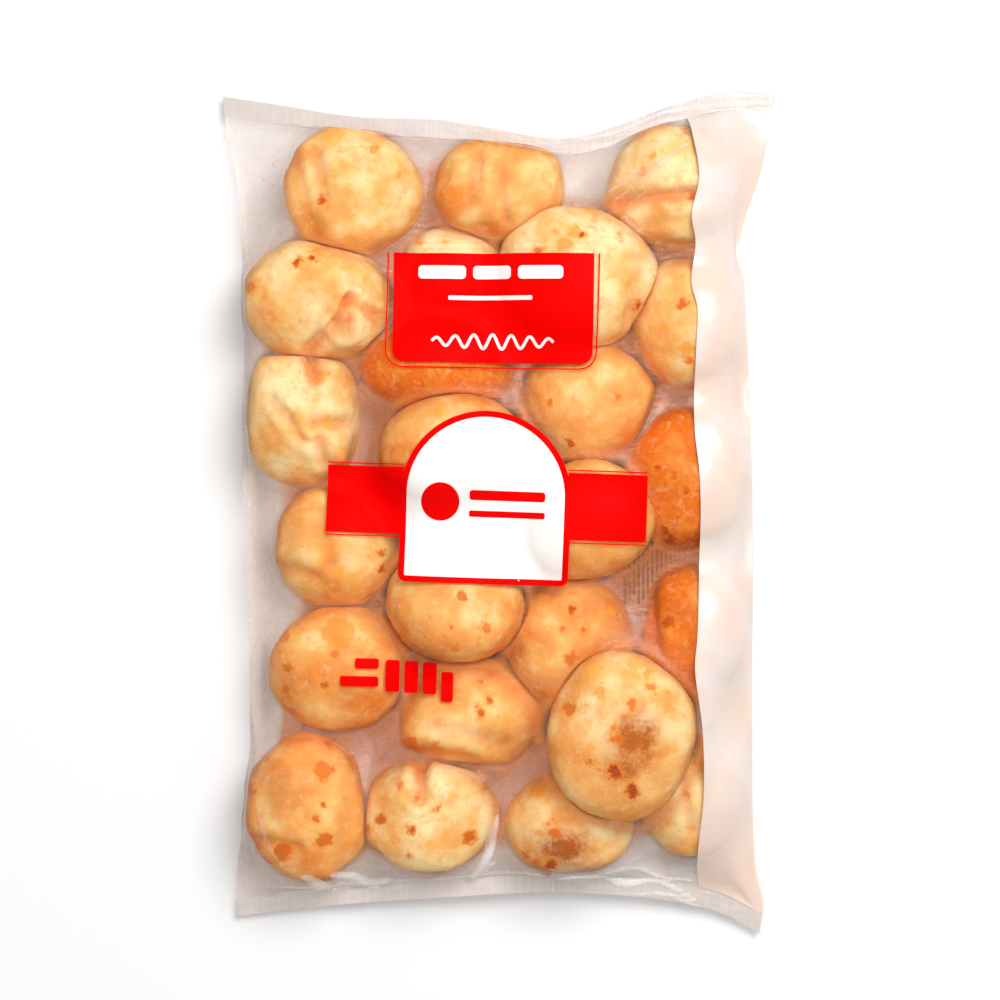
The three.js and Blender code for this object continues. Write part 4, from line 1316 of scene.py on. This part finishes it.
def make_crumbs():
    """Scatters crumbs in one joined mesh: half of them on the lower film where no ball hides them, half
    clinging to the upper film over the gaps, and closest together near one place by a Gaussian of how far
    they lie from it. A crumb is an octahedron with its corners moved at random."""
    draw = np.random.default_rng(77)
    plan = draw.uniform(BAG_LOW[:2] + CRUMB_MARGIN, BAG_HIGH[:2] - CRUMB_MARGIN, (CRUMBS * 8, 2))
    crown = sample(made["crowns"], plan[:, 0], plan[:, 1])
    film = sample(made["film"], plan[:, 0], plan[:, 1])
    near = np.exp(-(((plan - CRUMB_CENTRE) / CRUMB_SPREAD) ** 2).sum(axis=1))
    # Where no ball is near, and the film stands well clear of the ground
    open_air = (crown < 6) & (film > 10) & (draw.uniform(size=len(plan)) < 0.35 + 0.65 * near)
    plan = plan[open_air][:CRUMBS]
    film = film[open_air][:CRUMBS]
    size = draw.uniform(0.12, 0.42, (len(plan), 1)) * draw.uniform(0.7, 1.2, (len(plan), 1))
    high = draw.uniform(size=len(plan)) < 0.5
    level = np.where(high, film - 0.6 - size[:, 0], 0.75 + size[:, 0])
    corners = np.array([(1, 0, 0), (0, 1, 0), (-1, 0, 0), (0, -1, 0), (0, 0, 1), (0, 0, -1)], float)
    shape = corners[None] * draw.uniform(0.6, 1.3, (len(plan), 6, 1)) + draw.normal(0, 0.15, (len(plan), 6, 3))
    points = np.column_stack([plan, level])[:, None] + shape * size[:, None]
    faces = np.array([(0, 1, 4), (1, 2, 4), (2, 3, 4), (3, 0, 4), (1, 0, 5), (2, 1, 5), (3, 2, 5), (0, 3, 5)])
    faces = (faces[None] + 6 * np.arange(len(plan))[:, None, None]).reshape(-1, 3)
    material = crumb_material(bpy.context.scene.crust_look)
    new_piece("crumbs", points.reshape(-1, 3), [faces], material)


# --- Stage -------------------------------------------------------------------------------------------------

def make_stage():
    """Puts white paper under the bag, a soft main light high on the right beyond its top end, a wide weak
    one overhead and the camera straight above."""
    look = bpy.context.scene.stage_look
    scene = bpy.context.scene
    material = paper_material(look)
    side = np.linspace(-PAPER_REACH, PAPER_REACH, PAPER_POINTS)
    x, y = np.meshgrid(side, side)
    mesh = bpy.data.meshes.new("paper")
    points = np.dstack([x, y, 0 * x - 0.05]).reshape(-1, 3) * MM
    index = np.arange(PAPER_POINTS ** 2).reshape(PAPER_POINTS, PAPER_POINTS)
    mesh.from_pydata(points.tolist(), [], grid_quads(index).tolist())
    mesh.materials.append(material)
    paper = bpy.data.objects.new("paper", mesh)
    scene.collection.objects.link(paper)
    for name, place, size, power in (("main_light", look.main_place, look.main_size, look.main_power),
                                     ("fill_light", look.fill_place, look.fill_size, look.fill_power)):
        lamp = bpy.data.lights.new(name, "AREA")
        lamp.shape = "DISK"
        lamp.size = size
        lamp.energy = power
        light = bpy.data.objects.new(name, lamp)
        light.location = place
        aim = -light.location
        light.rotation_euler = aim.to_track_quat("-Z", "Y").to_euler()
        scene.collection.objects.link(light)
    world = bpy.data.worlds.new("soft_white_room")
    world.use_nodes = True
    background = world.node_tree.nodes["Background"]
    background.inputs["Color"].default_value = (1, 1, 1, 1)
    background.inputs["Strength"].default_value = look.room
    scene.world = world
    lens = bpy.data.cameras.new("camera")
    lens.sensor_width = SENSOR_WIDTH
    lens.lens = SENSOR_WIDTH * (CAMERA_HEIGHT - VIEW_LEVEL) / VIEW_WIDTH
    lens.clip_end = 10
    camera = bpy.data.objects.new("camera", lens)
    camera.location = (VIEW_MIDDLE[0] * MM, VIEW_MIDDLE[1] * MM, CAMERA_HEIGHT * MM)
    scene.collection.objects.link(camera)
    scene.camera = camera
    scene.view_settings.view_transform = "Standard"


# --- Add-on ------------------------------------------------------------------------------------------------

def colour_property(name, description, hex_colour):
    """A colour that a user may change, from its sRGB hex value."""
    return bpy.props.FloatVectorProperty(name=name, description=description, subtype="COLOR", size=4,
                                         min=0, max=1, default=linear(hex_colour))


def length_property(name, description, default):
    """A length in metres that a user may change."""
    return bpy.props.FloatProperty(name=name, description=description, default=default, min=0, unit="LENGTH")


def number_property(name, description, default, **settings):
    """A number from 0 up that a user may change, such as a share, a strength or a power."""
    return bpy.props.FloatProperty(name=name, description=description, default=default, min=0, **settings)


def place_property(name, description, default):
    """A place in metres that a user may change."""
    return bpy.props.FloatVectorProperty(name=name, description=description, default=default,
                                         subtype="TRANSLATION", unit="LENGTH")


class BagSize(bpy.types.PropertyGroup):
    flat_width: length_property("Flat width", "Width of the empty bag laid flat", 0.2035)
    flat_length: length_property("Flat length", "Length of the empty bag laid flat", 0.304)
    seal_width: length_property("Seal width", "Width of the welded band at each end", 0.007)
    side_height: length_property("Side height", "Height of the side folds at mid length", 0.015)
    seal_height: length_property("Seal height", "Height of the welded ends at mid width", 0.009)
    corner_height: length_property("Corner height", "Height of the four corners", 0.003)


class CrustLook(bpy.types.PropertyGroup):
    # Pale, golden and orange also lay painted shade: paler where the crust faces the light, more orange away
    # from it and in its folds
    pale: colour_property("Pale", "Crust that took the least heat", "#FEE5AE")
    golden: colour_property("Golden", "Crust baked golden", "#FABF70")
    mottled: colour_property("Mottled", "Small patches of cheese in the crust", "#F6A94A")
    orange: colour_property("Orange", "Crust baked deep orange, and the folds", "#E67012")
    cheese: colour_property("Cheese", "Ragged patches of browned cheese", "#F2A03A")
    toasted: colour_property("Toasted", "Broad toast", "#B5570C")
    melted: colour_property("Melted", "The palest patches of melted cheese", "#F1BC46")
    blister: colour_property("Blister", "Orange blisters of cheese", "#E9741C")
    browned: colour_property("Browned", "The darkest blisters", "#AC420A")
    frost: colour_property("Frost", "Ice crystals on the crust", "#FFF3DE")


class FilmLook(bpy.types.PropertyGroup):
    film: colour_property("Film", "The film's own milkiness", "#EDE3DD")
    film_warm: colour_property("Film, warm", "The film with balls close by, which light it", "#D8C2B2")
    # film_side is painted shade, darker where the film stands steep at the sides
    film_side: colour_property("Film, side", "The film where it stands steep", "#B3A59B")
    # dust is crumb dust, and painted shade warm with bounced light, on the film between balls
    dust_and_shade: colour_property("Dust", "Crumb dust on the film between balls", "#C46E36")
    # crevice is painted shade where two balls meet, orange with light bounced between them
    crevice: colour_property("Crevice", "Fat and crumbs where two balls meet", "#DA7C32")
    weld: colour_property("Film, welded", "The two films of a welded end", "#DBCFC8")
    # glint is the painted highlight along creases, and also the colour of the frost
    glint: colour_property("Film, creased", "The film in a sharp crease, and its frost", "#FFFBF8")
    strip: colour_property("Strip", "The white side strip", "#EDE0D8")
    # strip_warm is a painted glow of the balls' colour through the print
    strip_warm: colour_property("Strip, warm", "The strip where balls lie close behind it", "#F4D8C7")
    haze_on_ball: number_property("Haze on a ball", "Light scattered where it lies on a ball", 0.02, max=1)
    haze_over_air: number_property("Haze over air", "Light scattered away from the balls", 0.4, max=1)
    haze_of_loft: number_property("Haze off a ball", "Added where the film stands off a ball", 0.2, max=1)
    haze_in_veils: number_property("Haze in veils", "Added in soft patches", 0.06, max=1)
    haze_of_weld: number_property("Haze of a weld", "Added in the welded bands", 0.42, max=1)


class PrintLook(bpy.types.PropertyGroup):
    red: colour_property("Red", "Red fields, lines and bars", "#F60000")
    red_thin: colour_property("Red, thin", "Red where the ink is thinner", "#FC0C06")
    white: colour_property("White", "White fields and bars", "#FFFEFA")
    white_thin: colour_property("White, thin", "White where the ink is thinner", "#FAF2E4")
    grey: colour_property("Grey", "Small print on the back", "#3C2E28")


class StageLook(bpy.types.PropertyGroup):
    paper: colour_property("Paper", "The floor", "#F6F6F6")
    main_place: place_property("Main light", "Place of the main light", (0.36, 0.47, 1.0))
    main_size: length_property("Main light size", "Width of the main light", 0.68)
    main_power: number_property("Main light power", "Power of the main light", 9.2, unit="POWER")
    fill_place: place_property("Fill light", "Place of the fill light", (-0.2, -0.1, 1.7))
    fill_size: length_property("Fill light size", "Width of the fill light", 1.4)
    fill_power: number_property("Fill light power", "Power of the fill light", 8.0, unit="POWER")
    room: number_property("Room light", "Even light from all round", 0.41)


class MakeBalls(bpy.types.Operator):
    """Make the baked cheese balls"""
    bl_idname = "cheese_bag.balls"
    bl_label = "Cheese Balls"

    def execute(self, context):
        make_balls()
        return {"FINISHED"}


class MakeFilm(bpy.types.Operator):
    """Make the bag's film, settled on the balls"""
    bl_idname = "cheese_bag.film"
    bl_label = "Film"

    def execute(self, context):
        make_film()
        return {"FINISHED"}


class MakeStrip(bpy.types.Operator):
    """Make the white side strip on the film"""
    bl_idname = "cheese_bag.strip"
    bl_label = "Side Strip"

    def execute(self, context):
        make_strip()
        return {"FINISHED"}


class MakePrint(bpy.types.Operator):
    """Make the printed fields, lines and bars"""
    bl_idname = "cheese_bag.print"
    bl_label = "Print"

    def execute(self, context):
        look = context.scene.print_look
        red = ink_material("red gravure ink", look.red, look.red_thin)
        white = ink_material("white gravure ink", look.white, look.white_thin)
        make_label(red, white)
        make_badge(red, white)
        make_weight_marks(red)
        make_back_print(ink_material("grey gravure ink", look.grey, look.white))
        return {"FINISHED"}


class MakeCrumbs(bpy.types.Operator):
    """Make the loose crumbs inside the bag"""
    bl_idname = "cheese_bag.crumbs"
    bl_label = "Crumbs"

    def execute(self, context):
        make_crumbs()
        return {"FINISHED"}


class MakeStage(bpy.types.Operator):
    """Make the floor, the lights and the camera"""
    bl_idname = "cheese_bag.stage"
    bl_label = "Stage"

    def execute(self, context):
        make_stage()
        return {"FINISHED"}


LOOKS = {"bag_size": BagSize, "crust_look": CrustLook, "film_look": FilmLook, "print_look": PrintLook,
         "stage_look": StageLook}
OPERATORS = (MakeBalls, MakeFilm, MakeStrip, MakePrint, MakeCrumbs, MakeStage)


class CheeseBagPanel(bpy.types.Panel):
    """Lists the sizes and colours, and the pieces in the order that they are made"""
    bl_idname = "VIEW3D_PT_cheese_bag"
    bl_label = "Bag of Cheese Balls"
    bl_space_type = "VIEW_3D"
    bl_region_type = "UI"
    bl_category = "Cheese Balls"

    def draw(self, context):
        for name, group in LOOKS.items():
            look = getattr(context.scene, name)
            for label in group.__annotations__:
                self.layout.prop(look, label)
        for operator in OPERATORS:
            self.layout.operator(operator.bl_idname)


CLASSES = (*LOOKS.values(), *OPERATORS, CheeseBagPanel)


def register():
    """Registers the classes and gives each scene the groups of sizes and colours."""
    for group in CLASSES:
        bpy.utils.register_class(group)
    for name, group in LOOKS.items():
        setattr(bpy.types.Scene, name, bpy.props.PointerProperty(type=group))


def unregister():
    """Takes the groups and the classes out again."""
    for name in LOOKS:
        delattr(bpy.types.Scene, name)
    for group in reversed(CLASSES):
        bpy.utils.unregister_class(group)


def main():
    """Makes every piece in order."""
    register()
    for operator in OPERATORS:
        group, name = operator.bl_idname.split(".")
        getattr(getattr(bpy.ops, group), name)()


if __name__ == "__main__":
    main()
